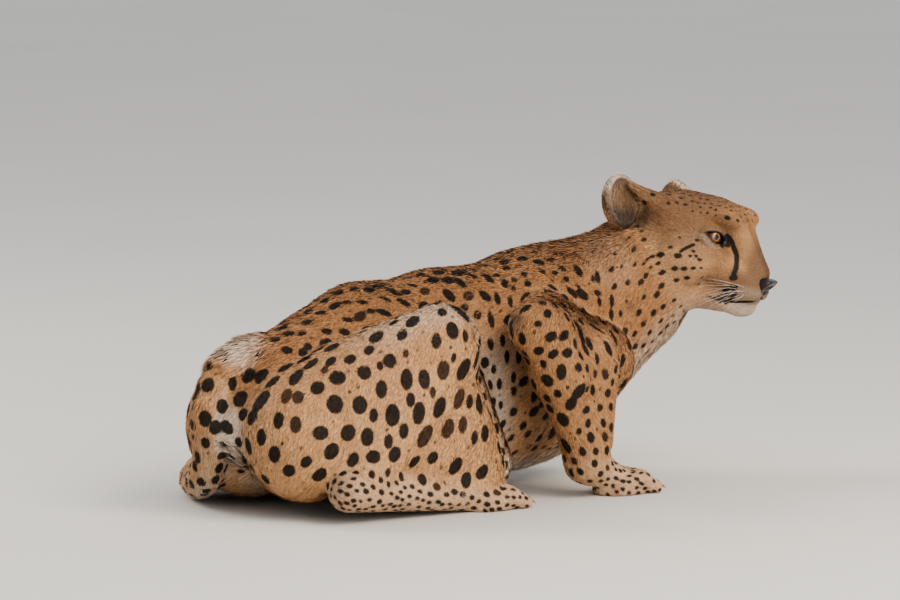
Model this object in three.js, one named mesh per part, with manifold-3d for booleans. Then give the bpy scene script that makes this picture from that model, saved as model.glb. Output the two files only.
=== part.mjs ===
// A life-size museum model of a cheetah crouched on folded legs with its head raised and turned to its right.
// Millimetres, Z up, the body faces +X and its left side is +Y. The outline is the tip of the coat.
import * as THREE from 'three';
import { mergeVertices } from 'three/addons/utils/BufferGeometryUtils.js';
import Module from 'manifold-3d';

const wasm = await Module();
wasm.setup();

const P = (x, y, z) => new THREE.Vector3(x, y, z);
const rad = THREE.MathUtils.degToRad;

// Driving sizes
const seam = 0.4; // thin cut between neighbouring parts
const earSeam = 1.2; // the ears' curved feet need a wider cut
const floorSnap = 0.05; // anything this close to the floor lies on it
const tailRadius = 27;
const tailTipRadius = 15;
const eyeRadius = 14.5;
const earHeight = 36;
const earWidth = 27;
const earDepth = 20;
const earWall = 5.5;

// Skeleton: joints of the body
const croup = P(-285, 0, 142);
const loin = P(-120, 0, 165);
const ribs = P(60, 0, 158);
const brisket = P(185, 0, 168);
const neckRoot = P(262, -8, 206);
const neckTop = P(318, -18, 262);

// Head frame: origin at the nose tip, X out of the muzzle, Y to the animal's left, Z up
const noseTip = P(442, -198, 255);
const headYaw = -63;
const headPitch = 9;
const headRoll = 5;
const headFrame = new THREE.Matrix4()
  .makeRotationFromEuler(new THREE.Euler(-rad(headRoll), rad(headPitch), rad(headYaw), 'ZYX'))
  .setPosition(noseTip);
const headToWorld = (x, y, z) => P(x, y, z).applyMatrix4(headFrame);
const worldToHead = headFrame.clone().invert();
const headUp = P(0, 0, 1).transformDirection(headFrame);

// Masses: every muscle group is a tapered bar or an oval lobe, melted into its neighbours
const bar = (a, b, ra, rb) => {
  const axis = b.clone().sub(a);
  const length2 = axis.lengthSq();
  const toP = new THREE.Vector3();
  return (p) => {
    toP.subVectors(p, a);
    const h = THREE.MathUtils.clamp(toP.dot(axis) / length2, 0, 1);
    return toP.addScaledVector(axis, -h).length() - THREE.MathUtils.lerp(ra, rb, h);
  };
};

const lobe = (centre, radii, turn = [0, 0, 0]) => {
  const back = new THREE.Matrix4()
    .makeRotationFromEuler(new THREE.Euler(rad(turn[0]), rad(turn[1]), rad(turn[2]), 'ZYX'))
    .setPosition(centre)
    .invert();
  const q = new THREE.Vector3();
  return (p) => {
    q.copy(p).applyMatrix4(back);
    const k0 = Math.hypot(q.x / radii[0], q.y / radii[1], q.z / radii[2]);
    const k1 = Math.hypot(q.x / radii[0] ** 2, q.y / radii[1] ** 2, q.z / radii[2] ** 2);
    return k1 > 0 ? (k0 * (k0 - 1)) / k1 : -Math.min(...radii);
  };
};

const softMin = (a, b, k) => {
  const h = Math.max(k - Math.abs(a - b), 0) / k;
  return Math.min(a, b) - (h * h * k) / 4;
};
const melt = (k, masses) => (p) => masses.reduce((d, mass) => softMin(d, mass(p), k), 1e4);
const hollow = (field, k, masses) => (p) =>
  masses.reduce((d, mass) => -softMin(-d, mass(p), k), field(p));
const aboveFloor = (field) => (p) => Math.max(field(p), -p.z); // pads and tail lie flat on the floor
const inHead = (field) => {
  const q = new THREE.Vector3();
  return (p) => field(q.copy(p).applyMatrix4(worldToHead));
};
const pair = (make) => [make(-1), make(1)];

// Wrapping: rings of points cast inward on a field, round a spine
function wrap(field, spine, size) {
  const { from = 0, to = 1, rings, around, up, reach } = size;
  const { grow = 0, overrun = 0, startCap = 0, endCap = 0 } = size;
  const points = [];
  const index = [];
  const ray = new THREE.Vector3();
  const cast = (origin, direction) => {
    let s = reach;
    for (let step = 0; step < 160 && s > 1; step += 1) {
      const d = field(ray.copy(origin).addScaledVector(direction, s)) - grow;
      if (d < 0.01) {
        break;
      }
      s -= d * 0.7;
    }
    const hit = origin.clone().addScaledVector(direction, Math.max(s, 1));
    hit.z = hit.z < floorSnap ? 0 : hit.z;
    return hit;
  };
  const rows = [];
  const addRow = (t, tilt) => {
    const origin = spine.getPointAt(t);
    const tangent = spine.getTangentAt(t);
    const side = new THREE.Vector3().crossVectors(up, tangent).normalize();
    const over = new THREE.Vector3().crossVectors(tangent, side);
    const row = [];
    for (let j = 0; j < around; j += 1) {
      const angle = (2 * Math.PI * j) / around;
      const direction = side.clone().multiplyScalar(Math.cos(angle)).addScaledVector(over, Math.sin(angle));
      direction.multiplyScalar(Math.cos(tilt)).addScaledVector(tangent, Math.sin(tilt));
      row.push(points.push(cast(origin, direction)) - 1);
    }
    rows.push(row);
  };
  const pole = (t, tilt, rounded) => {
    const origin = spine.getPointAt(t);
    const tangent = spine.getTangentAt(t).multiplyScalar(Math.sign(tilt));
    return points.push(rounded ? cast(origin, tangent) : origin) - 1;
  };
  const start = Math.max(from - overrun, 0);
  const end = Math.min(to + overrun, 1);
  const first = pole(start, -1, startCap > 0);
  for (let i = startCap; i > 0; i -= 1) {
    addRow(start, (-Math.PI / 2) * (i / (startCap + 1)));
  }
  addRow(start, 0);
  for (let i = 1; i < rings; i += 1) {
    addRow(THREE.MathUtils.lerp(from, to, i / rings), 0);
  }
  addRow(end, 0);
  for (let i = 1; i <= endCap; i += 1) {
    addRow(end, (Math.PI / 2) * (i / (endCap + 1)));
  }
  const last = pole(end, 1, endCap > 0);
  for (let j = 0; j < around; j += 1) {
    const k = (j + 1) % around;
    index.push(first, rows[0][k], rows[0][j]);
    index.push(last, rows[rows.length - 1][j], rows[rows.length - 1][k]);
    for (let i = 0; i + 1 < rows.length; i += 1) {
      const [a, b, c, d] = [rows[i][j], rows[i][k], rows[i + 1][k], rows[i + 1][j]];
      index.push(a, b, c, a, c, d);
    }
  }
  const geometry = new THREE.BufferGeometry().setFromPoints(points);
  geometry.setIndex(index);
  return geometry;
}

// Solids: joining and cutting
function solid(geometry) {
  const bare = geometry.clone();
  bare.deleteAttribute('normal');
  bare.deleteAttribute('uv');
  const merged = mergeVertices(bare, 1e-4);
  return new wasm.Manifold(
    new wasm.Mesh({
      numProp: 3,
      vertProperties: Float32Array.from(merged.getAttribute('position').array),
      triVerts: Uint32Array.from(merged.getIndex().array),
    }),
  );
}

const floorBlock = solid(new THREE.BoxGeometry(3000, 3000, 400).translate(0, 0, -200));
const onFloor = (body) => body.subtract(floorBlock);

function ball(centre, radii, frame, detail) {
  const geometry = new THREE.SphereGeometry(1, detail, Math.round(detail * 0.7));
  geometry.scale(...radii);
  geometry.applyMatrix4(frame);
  geometry.translate(centre.x, centre.y, centre.z);
  return solid(geometry);
}

// Trunk, neck and head share one spine
const headAxis = [P(-155, 0, 24), P(-102, 0, 28), P(-62, 0, 12), P(-34, 0, -8)].map((p) =>
  p.applyMatrix4(headFrame),
);
const spineCurve = new THREE.CatmullRomCurve3(
  [croup, loin, ribs, brisket, neckRoot, neckTop, ...headAxis],
  false,
  'centripetal',
);
spineCurve.arcLengthDivisions = 800;
const spineLength = spineCurve.getLength();
const spineAt = (point) => {
  let best = 0;
  for (let i = 0; i <= 600; i += 1) {
    const t = i / 600;
    if (spineCurve.getPointAt(t).distanceTo(point) < spineCurve.getPointAt(best).distanceTo(point)) {
      best = t;
    }
  }
  return best;
};

const trunkField = melt(44, [
  lobe(P(150, 0, 148), [162, 88, 134], [0, 3, 0]), // rib cage at the shoulders
  lobe(P(20, 0, 155), [170, 88, 122], [0, 2, 0]), // ribs
  lobe(P(-120, 0, 150), [150, 84, 110], [0, -3, 0]), // belly and loin
  lobe(P(-245, 0, 126), [90, 84, 80]), // pelvis and rump
  bar(P(-232, 0, 168), P(-104, 0, 223), 40, 42), // back muscles, arched over the loin
  bar(P(-104, 0, 223), P(20, 0, 231), 42, 40),
  bar(P(20, 0, 231), P(190, 0, 243), 40, 43),
  ...pair((s) => lobe(P(160, s * 52, 200), [72, 40, 78], [0, 18, 0])), // shoulder blades
  bar(P(205, 0, 178), P(325, -34, 250), 88, 66), // neck
  bar(P(205, -4, 112), P(300, -30, 222), 56, 50), // breast
  bar(P(246, -18, 140), P(332, -62, 216), 52, 48), // throat
  bar(P(175, 0, 252), P(318, -30, 274), 40, 44), // crest of the neck
  lobe(P(20, 0, 92), [176, 84, 72]), // underside, spread by its own weight
]);

const headField = hollow(
  inHead(
    melt(14, [
      lobe(P(-142, 0, 42), [72, 59, 54]), // braincase
      lobe(P(-102, 0, 56), [40, 43, 37]), // forehead
      ...pair((s) => lobe(P(-79, s * 29, 69), [25, 18, 16], [0, 0, s * 18])), // brows
      bar(P(-204, -57, 85), P(-160, -40, 66), 8, 22), // front root of the right ear
      bar(P(-168, 56, 78), P(-130, 38, 62), 8, 22), // front root of the left ear
      ...pair((s) => bar(P(-80, s * 34, 20), P(-130, s * 43, 10), 18, 27)), // cheekbones
      ...pair((s) => lobe(P(-126, s * 42, 0), [42, 26, 34], [0, 0, s * 8])), // cheeks
      ...pair((s) => lobe(P(-152, s * 40, -24), [38, 28, 32])), // ruff under the cheek
      bar(P(-80, 0, 6), P(-42, 0, -8), 32, 23), // muzzle
      ...pair((s) => bar(P(-76, s * 20, 0), P(-46, s * 13, -12), 20, 15)), // sides of the muzzle
      ...pair((s) => bar(P(-70, s * 13, 56), P(-31, s * 6, 7), 18, 11)), // bridge of the nose
      ...pair((s) => lobe(P(-39, s * 14, -19), [21, 17, 16])), // whisker pads
      lobe(P(-44, 0, -43), [17, 15, 11]), // chin
      ...pair((s) => bar(P(-50, s * 10, -41), P(-132, s * 34, -34), 12, 24)), // lower jaw
      bar(P(-165, 0, 4), P(-196, 10, -10), 57, 60), // root of the neck
    ]),
  ),
  8,
  pair((s) => inHead(lobe(P(-70, s * 51, 42), [24, 17, 13], [0, 0, s * 34]))), // eye hollows
);

const wholeField = melt(30, [trunkField, headField]);
const headStart = spineAt(headToWorld(-172, 4, 18));
const cuts = {
  rump: 0,
  loin: spineAt(P(-190, 0, 160)),
  chest: spineAt(P(-10, 0, 160)),
  neck: spineAt(P(248, -6, 198)),
  head: headStart,
};
const axial = (field, from, to, size) => (grow) => {
  const inset = seam / 2 / spineLength;
  return solid(
    wrap(field, spineCurve, {
      from: from + (from > 0 ? inset : 0),
      to: to - (to < 1 ? inset : 0),
      up: P(0, 0, 1),
      reach: 190,
      ...size,
      grow,
      overrun: Math.min(grow, seam) / spineLength,
    }),
  );
};

// A block filling everything behind (-1) or ahead (+1) of the cut at t.
function beyondCut(t, side) {
  const block = new THREE.BoxGeometry(400, 400, 400).translate(0, 0, side * (200 - seam / 2));
  const turn = new THREE.Quaternion().setFromUnitVectors(P(0, 0, 1), spineCurve.getTangentAt(t));
  const origin = spineCurve.getPointAt(t);
  return solid(block.applyQuaternion(turn).translate(origin.x, origin.y, origin.z));
}

const pelvis = axial(trunkField, cuts.rump, cuts.loin, { rings: 3, around: 20, startCap: 3 });
const loinPart = axial(trunkField, cuts.loin, cuts.chest, { rings: 4, around: 20 });
const chest = axial(trunkField, cuts.chest, cuts.neck, { rings: 7, around: 20 });
const neckTube = axial(wholeField, cuts.neck, cuts.head, { rings: 4, around: 20, reach: 150 });
const headTube = axial(wholeField, cuts.head, 1, {
  rings: 14, around: 22, up: headUp, reach: 110, endCap: 3,
});
const neck = (grow) => neckTube(grow).subtract(beyondCut(cuts.head, 1));
const head = (grow) => headTube(grow).subtract(beyondCut(cuts.head, -1));

// Eyes, nose and ears
const eyeCentre = (s) => P(-92, s * 36, 42);
const eye = (s) => (grow) =>
  ball(headToWorld(...eyeCentre(s)), Array(3).fill(eyeRadius + grow), new THREE.Matrix4(), 9);
const noseFrame = new THREE.Matrix4()
  .extractRotation(headFrame)
  .multiply(new THREE.Matrix4().makeRotationY(rad(-20)));
const noseTop = (grow) => ball(headToWorld(-19, 0, -4), [10 + grow, 16.5 + grow, 10 + grow], noseFrame, 9);
const noseFoot = (grow) => ball(headToWorld(-28, 0, -13), [10 + grow, 14 + grow, 11 + grow], noseFrame, 9);
const nose = (grow) => noseTop(grow).add(noseFoot(grow));

const ear = (s, seat, turn, lean, tip) => (grow) => {
  const twist = new THREE.Euler(s * -rad(lean), -rad(tip), s * rad(turn), 'ZYX');
  const frame = new THREE.Matrix4()
    .extractRotation(headFrame)
    .multiply(new THREE.Matrix4().makeRotationFromEuler(twist));
  const centre = headToWorld(...seat);
  const outer = ball(centre, [earDepth + grow, earWidth + grow, earHeight + grow], frame, 9);
  const forward = P(1, 0, 0.12).transformDirection(frame);
  const innerCentre = centre.clone().addScaledVector(forward, earWall + 10);
  const inner = ball(innerCentre, [earDepth + 4, earWidth - earWall, earHeight - earWall], frame, 9);
  return outer.subtract(inner);
};

// Legs
const leg = (masses, spine, size) => (grow) =>
  solid(wrap(aboveFloor(melt(size.melt, masses)), new THREE.CatmullRomCurve3(spine), { ...size, grow }));

function toesOf({ pad, toes, spread, width, rise }) {
  const toeMasses = [];
  const claws = [];
  for (let i = 0; i < 4; i += 1) {
    const k = (i - 1.5) / 1.5; // -1 outermost … 1 innermost
    const reach = toes * (1 - 0.12 * k * k);
    const root = pad.clone().add(P(-8, k * width * 0.8, rise - 2));
    const knuckle = pad.clone().add(P(reach * 0.45, k * (width + spread * 0.5), rise + 5));
    const end = pad.clone().add(P(reach * 0.86, k * (width + spread), 8));
    toeMasses.push(bar(root, knuckle, 15, 13.5), bar(knuckle, end, 13, 11));
    const claw = new THREE.ConeGeometry(3.6, 20, 4);
    claw.rotateZ(-rad(90));
    claw.rotateY(rad(30));
    claws.push(claw.translate(end.x + 11, end.y, end.z + 1));
  }
  return { toeMasses, claws };
}

function foreleg(s, pose) {
  const { shoulder, elbow, wrist, pad } = pose;
  const name = s < 0 ? 'right' : 'left';
  const armMasses = [
    bar(shoulder, elbow, 60, 34),
    bar(shoulder.clone().add(P(-60, -s * 18, 60)), elbow.clone().add(P(-4, 0, 8)), 44, 26), // triceps
  ];
  const armDirection = elbow.clone().sub(shoulder).normalize();
  const upper = leg(armMasses, [shoulder, shoulder.clone().lerp(elbow, 0.5), elbow], {
    rings: 4, around: 12, up: P(0, 0, 1), reach: 120, startCap: 1, endCap: 3, melt: 30,
  });
  const foreMid = elbow.clone().lerp(wrist, 0.35).add(P(8, 0, 4));
  const foreMasses = [
    bar(elbow.clone().add(P(10, 0, -6)), foreMid, 36, 36),
    bar(foreMid, wrist, 35, 24),
    bar(wrist.clone().add(P(16, -s * 16, 128)), wrist.clone().add(P(16, 0, 33)), 46, 27), // forearm muscle
    bar(elbow.clone().addScaledVector(armDirection, 12), elbow.clone().add(P(-6, 0, 6)), 22, 24), // elbow
  ];
  const lower = leg(foreMasses, [elbow.clone().add(P(4, 0, 4)), foreMid, wrist], {
    rings: 5, around: 14, up: P(1, 0, 0.2), reach: 90, startCap: 2, endCap: 0, melt: 24,
  });
  const paw = toesOf({ pad, toes: 58, spread: 7, width: 20, rise: 14 });
  const footMasses = [
    bar(wrist.clone().add(P(-2, 0, 4)), pad.clone().add(P(0, 0, 18)), 24, 22),
    lobe(pad.clone().add(P(12, 0, 5)), [44, 32, 13]), // sole
    ...paw.toeMasses,
  ];
  const footSpine = [wrist, pad.clone().add(P(-10, 0, 20)), pad.clone().add(P(28, 0, 14))];
  const footShape = leg(footMasses, footSpine, {
    rings: 3, around: 16, up: P(0, 0, 1), reach: 90, startCap: 1, endCap: 3, melt: 5,
  });
  return { name, upper, lower, paw: footShape, claws: paw.claws };
}

function hindleg(s, pose) {
  const { hip, knee, hock, pad, fold } = pose;
  const name = s < 0 ? 'right' : 'left';
  const thighMasses = [
    bar(hip, knee, 77, 44),
    bar(hip.clone().add(P(10, 0, -30)), hip.clone().lerp(knee, 0.75).add(P(-10, 0, -72)), 70, 48), // back
    bar(hip.clone().add(P(62, 0, 56)), knee.clone().add(P(-4, 0, 4)), 40, 34), // front
  ];
  const thighSpine = [hip.clone().add(P(0, 0, -8)), hip.clone().lerp(knee, 0.6).add(P(0, 0, -22)), knee];
  const thigh = leg(thighMasses, thighSpine, {
    rings: 5, around: 14, up: P(0, 0, 1), reach: 210, startCap: 1, endCap: 2, melt: 40,
  });
  const shankMid = knee.clone().lerp(hock, 0.4);
  const shankMasses = [
    bar(knee.clone().add(P(6, 0, -8)), shankMid, 40, 44),
    bar(shankMid, hock, 42, 23),
    bar(shankMid.clone().add(P(-14, 0, -12)), hock.clone().add(P(-18, 0, 0)), 34, 18), // heel tendon
  ];
  const shank = leg(shankMasses, [knee.clone().add(P(0, 0, -12)), shankMid, hock], {
    rings: 5, around: 12, up: P(1, 0, 0.2), reach: 110, startCap: 2, endCap: 0, melt: 24,
  });
  const calfMasses = [
    bar(knee.clone().add(P(0, 2, -24)), P(knee.x + 56, knee.y + 4, 64), 40, 40), // pressed under the knee
    lobe(P(knee.x - 14, knee.y + 4, 84), [72, 38, 66]), // calf folded against the thigh
    bar(...fold), // fold of the flank beside the knee
  ];
  const calfSpine = [[6, 150], [28, 100], [44, 66]].map(
    ([ahead, height]) => P(knee.x + ahead, knee.y * 0.86, height),
  );
  const calf = leg(calfMasses, calfSpine, {
    rings: 2, around: 10, up: P(1, 0, 0.2), reach: 150, startCap: 1, endCap: 1, melt: 40,
  });
  const paw = toesOf({ pad, toes: 60, spread: 5, width: 18, rise: 12 });
  const heel = hock.clone().add(P(-34, 0, -6));
  const footMasses = [
    bar(heel, pad.clone().add(P(-6, 0, 20)), 27, 22),
    bar(hock, heel, 28, 24),
    lobe(pad.clone().add(P(10, 0, 5)), [44, 29, 13]), // sole
    ...paw.toeMasses,
  ];
  const footSpine = [
    heel.clone().add(P(6, 0, 0)),
    hock.clone().lerp(pad, 0.5).add(P(0, 0, 8)),
    pad.clone().add(P(28, 0, 13)),
  ];
  const footShape = leg(footMasses, footSpine, {
    rings: 4, around: 14, up: P(0, 0, 1), reach: 80, startCap: 1, endCap: 3, melt: 5,
  });
  return { name, thigh, shank, calf, paw: footShape, claws: paw.claws };
}

const foreRight = foreleg(-1, {
  shoulder: P(222, -78, 160), elbow: P(54, -170, 222), wrist: P(134, -168, 42), pad: P(184, -170, 0),
});
const foreLeft = foreleg(1, {
  shoulder: P(222, 78, 160), elbow: P(66, 152, 192), wrist: P(150, 156, 42), pad: P(202, 160, 0),
});
const hindRight = hindleg(-1, {
  hip: P(-252, -70, 118), knee: P(-92, -154, 219), hock: P(-206, -150, 46), pad: P(-32, -168, 0),
  fold: [P(-34, -100, 176), P(10, -106, 52), 40, 46],
});
const hindLeft = hindleg(1, {
  hip: P(-232, 66, 108), knee: P(-56, 138, 158), hock: P(-196, 142, 44), pad: P(-20, 156, 0),
  fold: [P(-14, 94, 130), P(14, 100, 54), 36, 42],
});

// Tail: laid round the left foot on the floor
const tailCurve = new THREE.CatmullRomCurve3(
  [
    P(-214, 4, 176), P(-262, 6, 196), P(-312, 10, 175), P(-332, 16, 134), P(-318, 28, 90), P(-302, 56, 48),
    P(-270, 112, 25), P(-226, 176, 22), P(-150, 224, 19), P(-60, 236, 17), P(40, 232, 16), P(130, 236, 15),
    P(186, 246, 14),
  ],
  false,
  'centripetal',
);
const tailSamples = Array.from({ length: 91 }, (_, i) => tailCurve.getPointAt(i / 90));
const tailField = (p) => {
  let best = 1e4;
  for (let i = 0; i <= 90; i += 1) {
    const t = i / 90;
    const r = THREE.MathUtils.lerp(tailRadius, tailTipRadius, t);
    best = Math.min(best, tailSamples[i].distanceTo(p) - r);
  }
  return best;
};
const tailEnds = [0, 0.27, 0.52, 0.77, 1];
const tailSeam = seam / tailCurve.getLength() / 2;
const tailParts = [0, 1, 2, 3].map((i) => (grow) =>
  solid(
    wrap(aboveFloor(tailField), tailCurve, {
      from: tailEnds[i] + (i > 0 ? tailSeam : 0),
      to: tailEnds[i + 1] - (i < 3 ? tailSeam : 0),
      rings: 6,
      around: 8,
      up: P(0.3, -0.2, 1),
      reach: 60,
      endCap: i === 3 ? 3 : 0,
      grow,
    }),
  ),
);

// Finishes
const finish = (name, color, roughness) =>
  new THREE.MeshStandardMaterial({ name, color, roughness, flatShading: true });
const coat = () => finish('spotted coat', '#c08a50', 0.9);
const eyeFinish = () => finish('eye', '#a97a2c', 0.1);
const leather = () => finish('nose leather', '#1d1716', 0.5);
const horn = () => finish('claw horn', '#3a2f29', 0.4);

// Assembly
const group = new THREE.Group();
group.name = 'cheetah';

function addNode(name, body, material) {
  const raw = body.getMesh();
  const geometry = new THREE.BufferGeometry();
  geometry.setAttribute('position', new THREE.BufferAttribute(Float32Array.from(raw.vertProperties), 3));
  geometry.setIndex(Array.from(raw.triVerts));
  geometry.computeVertexNormals();
  const mesh = new THREE.Mesh(geometry, material);
  mesh.name = name;
  group.add(mesh);
}

// A part is cut back by grown copies of the parts it is let into, which leaves the seam between them.
const eyes = [eye(-1), eye(1)];
const ears = [ear(-1, P(-213, -64, 64), 30, 12, 12), ear(1, P(-181, 64, 61), 66, 23, 2)];
const trunk = [pelvis, loinPart, chest, neck];
const largest = (body) => body.decompose().reduce((a, b) => (b.volume() > a.volume() ? b : a));
const cutBack = (make, others, gap = seam) =>
  largest(others.reduce((rest, other) => rest.subtract(other(gap)), make(0)));

function addClaws(limbName, limb) {
  limb.claws.forEach((claw, i) => {
    addNode(`claw_${limbName}_${i + 1}`, largest(onFloor(solid(claw).subtract(limb.paw(seam)))), horn());
  });
}

addNode('eye_right', eyes[0](0), eyeFinish());
addNode('eye_left', eyes[1](0), eyeFinish());
addNode('nose', nose(0), leather());
addNode('pelvis', pelvis(0), coat());
addNode('loin', loinPart(0), coat());
addNode('chest', chest(0), coat());
addNode('neck', neck(0), coat());
addNode('head', cutBack(head, [...eyes, nose]), coat());
addNode('ear_right', cutBack(ears[0], [head, neck], earSeam), coat());
addNode('ear_left', cutBack(ears[1], [head, neck], earSeam), coat());
for (const limb of [foreRight, foreLeft]) {
  addNode(`upper_arm_${limb.name}`, cutBack(limb.upper, trunk), coat());
  addNode(`forearm_${limb.name}`, cutBack(limb.lower, [limb.upper, ...trunk]), coat());
  addNode(`forefoot_${limb.name}`, cutBack(limb.paw, [limb.lower]), coat());
  addClaws(`fore_${limb.name}`, limb);
}
for (const limb of [hindRight, hindLeft]) {
  addNode(`thigh_${limb.name}`, cutBack(limb.thigh, trunk), coat());
  addNode(`shank_${limb.name}`, cutBack(limb.shank, [limb.thigh, ...trunk]), coat());
  addNode(`hindfoot_${limb.name}`, cutBack(limb.paw, [limb.thigh, limb.shank]), coat());
  const calfNeighbours = [limb.thigh, limb.shank, limb.paw, loinPart, chest];
  addNode(`calf_${limb.name}`, cutBack(limb.calf, calfNeighbours), coat());
  addClaws(`hind_${limb.name}`, limb);
}
tailParts.forEach((part, i) => {
  const others = i < 2 ? [pelvis, hindLeft.thigh, hindLeft.shank, hindLeft.paw] : [hindLeft.paw];
  addNode(`tail_${i + 1}`, cutBack(part, others), coat());
});

// The origin is the middle of the footprint, on the floor.
const box = new THREE.Box3().setFromObject(group);
const middle = box.getCenter(new THREE.Vector3());
group.children.forEach((mesh) => mesh.geometry.translate(-middle.x, -middle.y, 0));

export default group;
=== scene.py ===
import bpy, itertools, math
import numpy as np
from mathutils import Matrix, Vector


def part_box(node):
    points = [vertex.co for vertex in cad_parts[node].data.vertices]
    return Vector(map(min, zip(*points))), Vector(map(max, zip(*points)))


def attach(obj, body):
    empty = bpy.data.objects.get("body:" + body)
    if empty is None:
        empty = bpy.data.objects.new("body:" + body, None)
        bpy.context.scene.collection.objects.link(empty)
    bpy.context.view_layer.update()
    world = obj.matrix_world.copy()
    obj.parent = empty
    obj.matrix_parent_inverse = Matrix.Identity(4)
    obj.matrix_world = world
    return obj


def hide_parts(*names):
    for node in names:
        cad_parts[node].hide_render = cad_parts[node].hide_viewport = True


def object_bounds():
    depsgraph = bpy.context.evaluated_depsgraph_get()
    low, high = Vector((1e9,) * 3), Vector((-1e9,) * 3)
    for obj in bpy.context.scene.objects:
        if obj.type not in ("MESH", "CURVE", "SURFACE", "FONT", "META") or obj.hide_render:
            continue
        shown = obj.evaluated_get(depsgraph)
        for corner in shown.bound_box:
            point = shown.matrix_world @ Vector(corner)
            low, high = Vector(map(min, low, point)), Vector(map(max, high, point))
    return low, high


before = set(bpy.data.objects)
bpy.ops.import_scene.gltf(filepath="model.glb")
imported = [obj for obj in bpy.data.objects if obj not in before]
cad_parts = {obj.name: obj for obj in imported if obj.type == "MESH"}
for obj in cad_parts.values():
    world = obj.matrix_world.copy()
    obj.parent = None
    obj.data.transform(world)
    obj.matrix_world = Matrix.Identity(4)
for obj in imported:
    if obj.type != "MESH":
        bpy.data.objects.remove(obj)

import openvdb
from mathutils import Euler, Vector

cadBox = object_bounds()
print("frame loaded,", len(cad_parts), "nodes")

# A crouched cheetah, life size. Shapes are worked out in millimetres in the body's own frame, which faces +X
# with its left at +Y, then moved onto the frame's footprint.


def vec(*values):
    return np.array(values, np.float32)


def unit(v):
    return v / np.maximum(np.linalg.norm(v, axis=-1, keepdims=True), 1e-9)


def dot(a, b):
    return np.einsum("ij,ij->i", a, b)


def smooth01(x, low, high):
    t = np.clip((x - low) / (high - low), 0, 1)
    return t * t * (3 - 2 * t)


def turned(x, y, z):
    return np.array(Euler([math.radians(a) for a in (x, y, z)]).to_matrix(), np.float32)


# Head frame: origin at the tip of the nose, X out of the muzzle, Y to the left, Z up.
headPose = {"noseTip": (442, -198, 255), "yaw": -63, "pitch": 9, "roll": 5}
headTurn = turned(-headPose["roll"], headPose["pitch"], headPose["yaw"])
noseTip = vec(*headPose["noseTip"])


def toHead(p):
    return (p - noseTip) @ headTurn


def fromHead(p):
    return p @ headTurn.T + noseTip


eye = {
    "place": (-92, 36, 42),  # left eye in the head frame, the right one is its mirror
    "radius": 14.5,
    "gaze": (0.75, 0.65, 0.1),
    "irisRadius": 8.8,
    "pupilRadius": 3.5,
    "openingHalfWidth": 14.0,
    "openingHalfHeight": 6.1,
    "openingShift": 1.0,  # towards the inner corner
    "corner": {"along": 15.5, "down": 0.5, "flatness": 1.4, "radius": 3.2},
    "cantDegrees": 18,  # the inner corner sits lower than the outer one
    "lidRadius": 16.4,
    "lidHalfThickness": 1.5,
    "socketGap": 0.1,
}
lowest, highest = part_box("eye_right")
eyeRight = fromHead(vec(eye["place"][0], -eye["place"][1], eye["place"][2]))
bodyShift = vec(*((lowest + highest) / 2 * 1000)) - eyeRight
bodyShift[2] = 0


def toMetres(p):
    return (p + bodyShift) * 0.001


# Masses are tapered bars and oval lobes, melted into each other.
def bar(a, b, ra, rb):
    a, b = vec(*a), vec(*b)
    axis = b - a
    length2 = float(axis @ axis)

    def distance(p):
        t = np.clip((p - a) @ axis / length2, 0, 1)
        return np.linalg.norm(p - a - t[:, None] * axis, axis=1) - (ra + (rb - ra) * t)

    return distance, (a + b) / 2, math.sqrt(length2) / 2 + max(ra, rb)


def lobe(centre, radii, turn=(0, 0, 0)):
    centre, radii = vec(*centre), vec(*radii)
    back = turned(*turn)

    def distance(p):
        q = (p - centre) @ back
        k0 = np.linalg.norm(q / radii, axis=1)
        k1 = np.linalg.norm(q / radii**2, axis=1)
        return k0 * (k0 - 1) / np.maximum(k1, 1e-6)

    return distance, centre, float(radii.max())


def softMin(a, b, k):
    h = np.maximum(k - np.abs(a - b), 0) / k
    return np.minimum(a, b) - h * h * k / 4


def softMax(a, b, k):
    return -softMin(-a, -b, k)


farOff = 400  # mm, more than any field is read at
meltMargin = 30


def melt(p, k, masses):
    middle = (p.min(0) + p.max(0)) / 2
    spread = float(np.linalg.norm(p - middle, axis=1).max())
    d = np.full(len(p), farOff, np.float32)
    for distance, centre, reach in masses:
        if np.linalg.norm(centre - middle) < spread + reach + k + meltMargin:
            d = softMin(d, distance(p), k)
    return d


def both(make):
    return [make(-1), make(1)]


trunkMasses = [
    lobe((150, 0, 148), (162, 88, 134), (0, 3, 0)),  # rib cage at the shoulders
    lobe((20, 0, 155), (170, 88, 122), (0, 2, 0)),  # ribs
    lobe((-120, 0, 150), (150, 84, 110), (0, -3, 0)),  # belly and loin
    lobe((-245, 0, 126), (90, 84, 80)),  # pelvis and rump
    bar((-232, 0, 168), (-104, 0, 223), 40, 42),  # back muscles, arched over the loin
    bar((-104, 0, 223), (20, 0, 231), 42, 40),
    bar((20, 0, 231), (190, 0, 243), 40, 43),
    *both(lambda s: lobe((160, s * 52, 200), (72, 40, 78), (0, 18, 0))),  # shoulder blades
    bar((205, 0, 178), (325, -34, 250), 88, 66),  # neck
    bar((205, -4, 112), (300, -30, 222), 56, 50),  # breast
    bar((246, -18, 140), (332, -62, 216), 52, 48),  # throat
    bar((175, 0, 252), (318, -30, 274), 40, 44),  # crest of the neck
    lobe((20, 0, 92), (176, 84, 72)),  # underside, spread by its own weight
    bar((-34, -100, 176), (10, -106, 52), 40, 46),  # fold of the right flank
    bar((-14, 94, 130), (14, 100, 54), 36, 42),  # fold of the left flank
]
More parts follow.
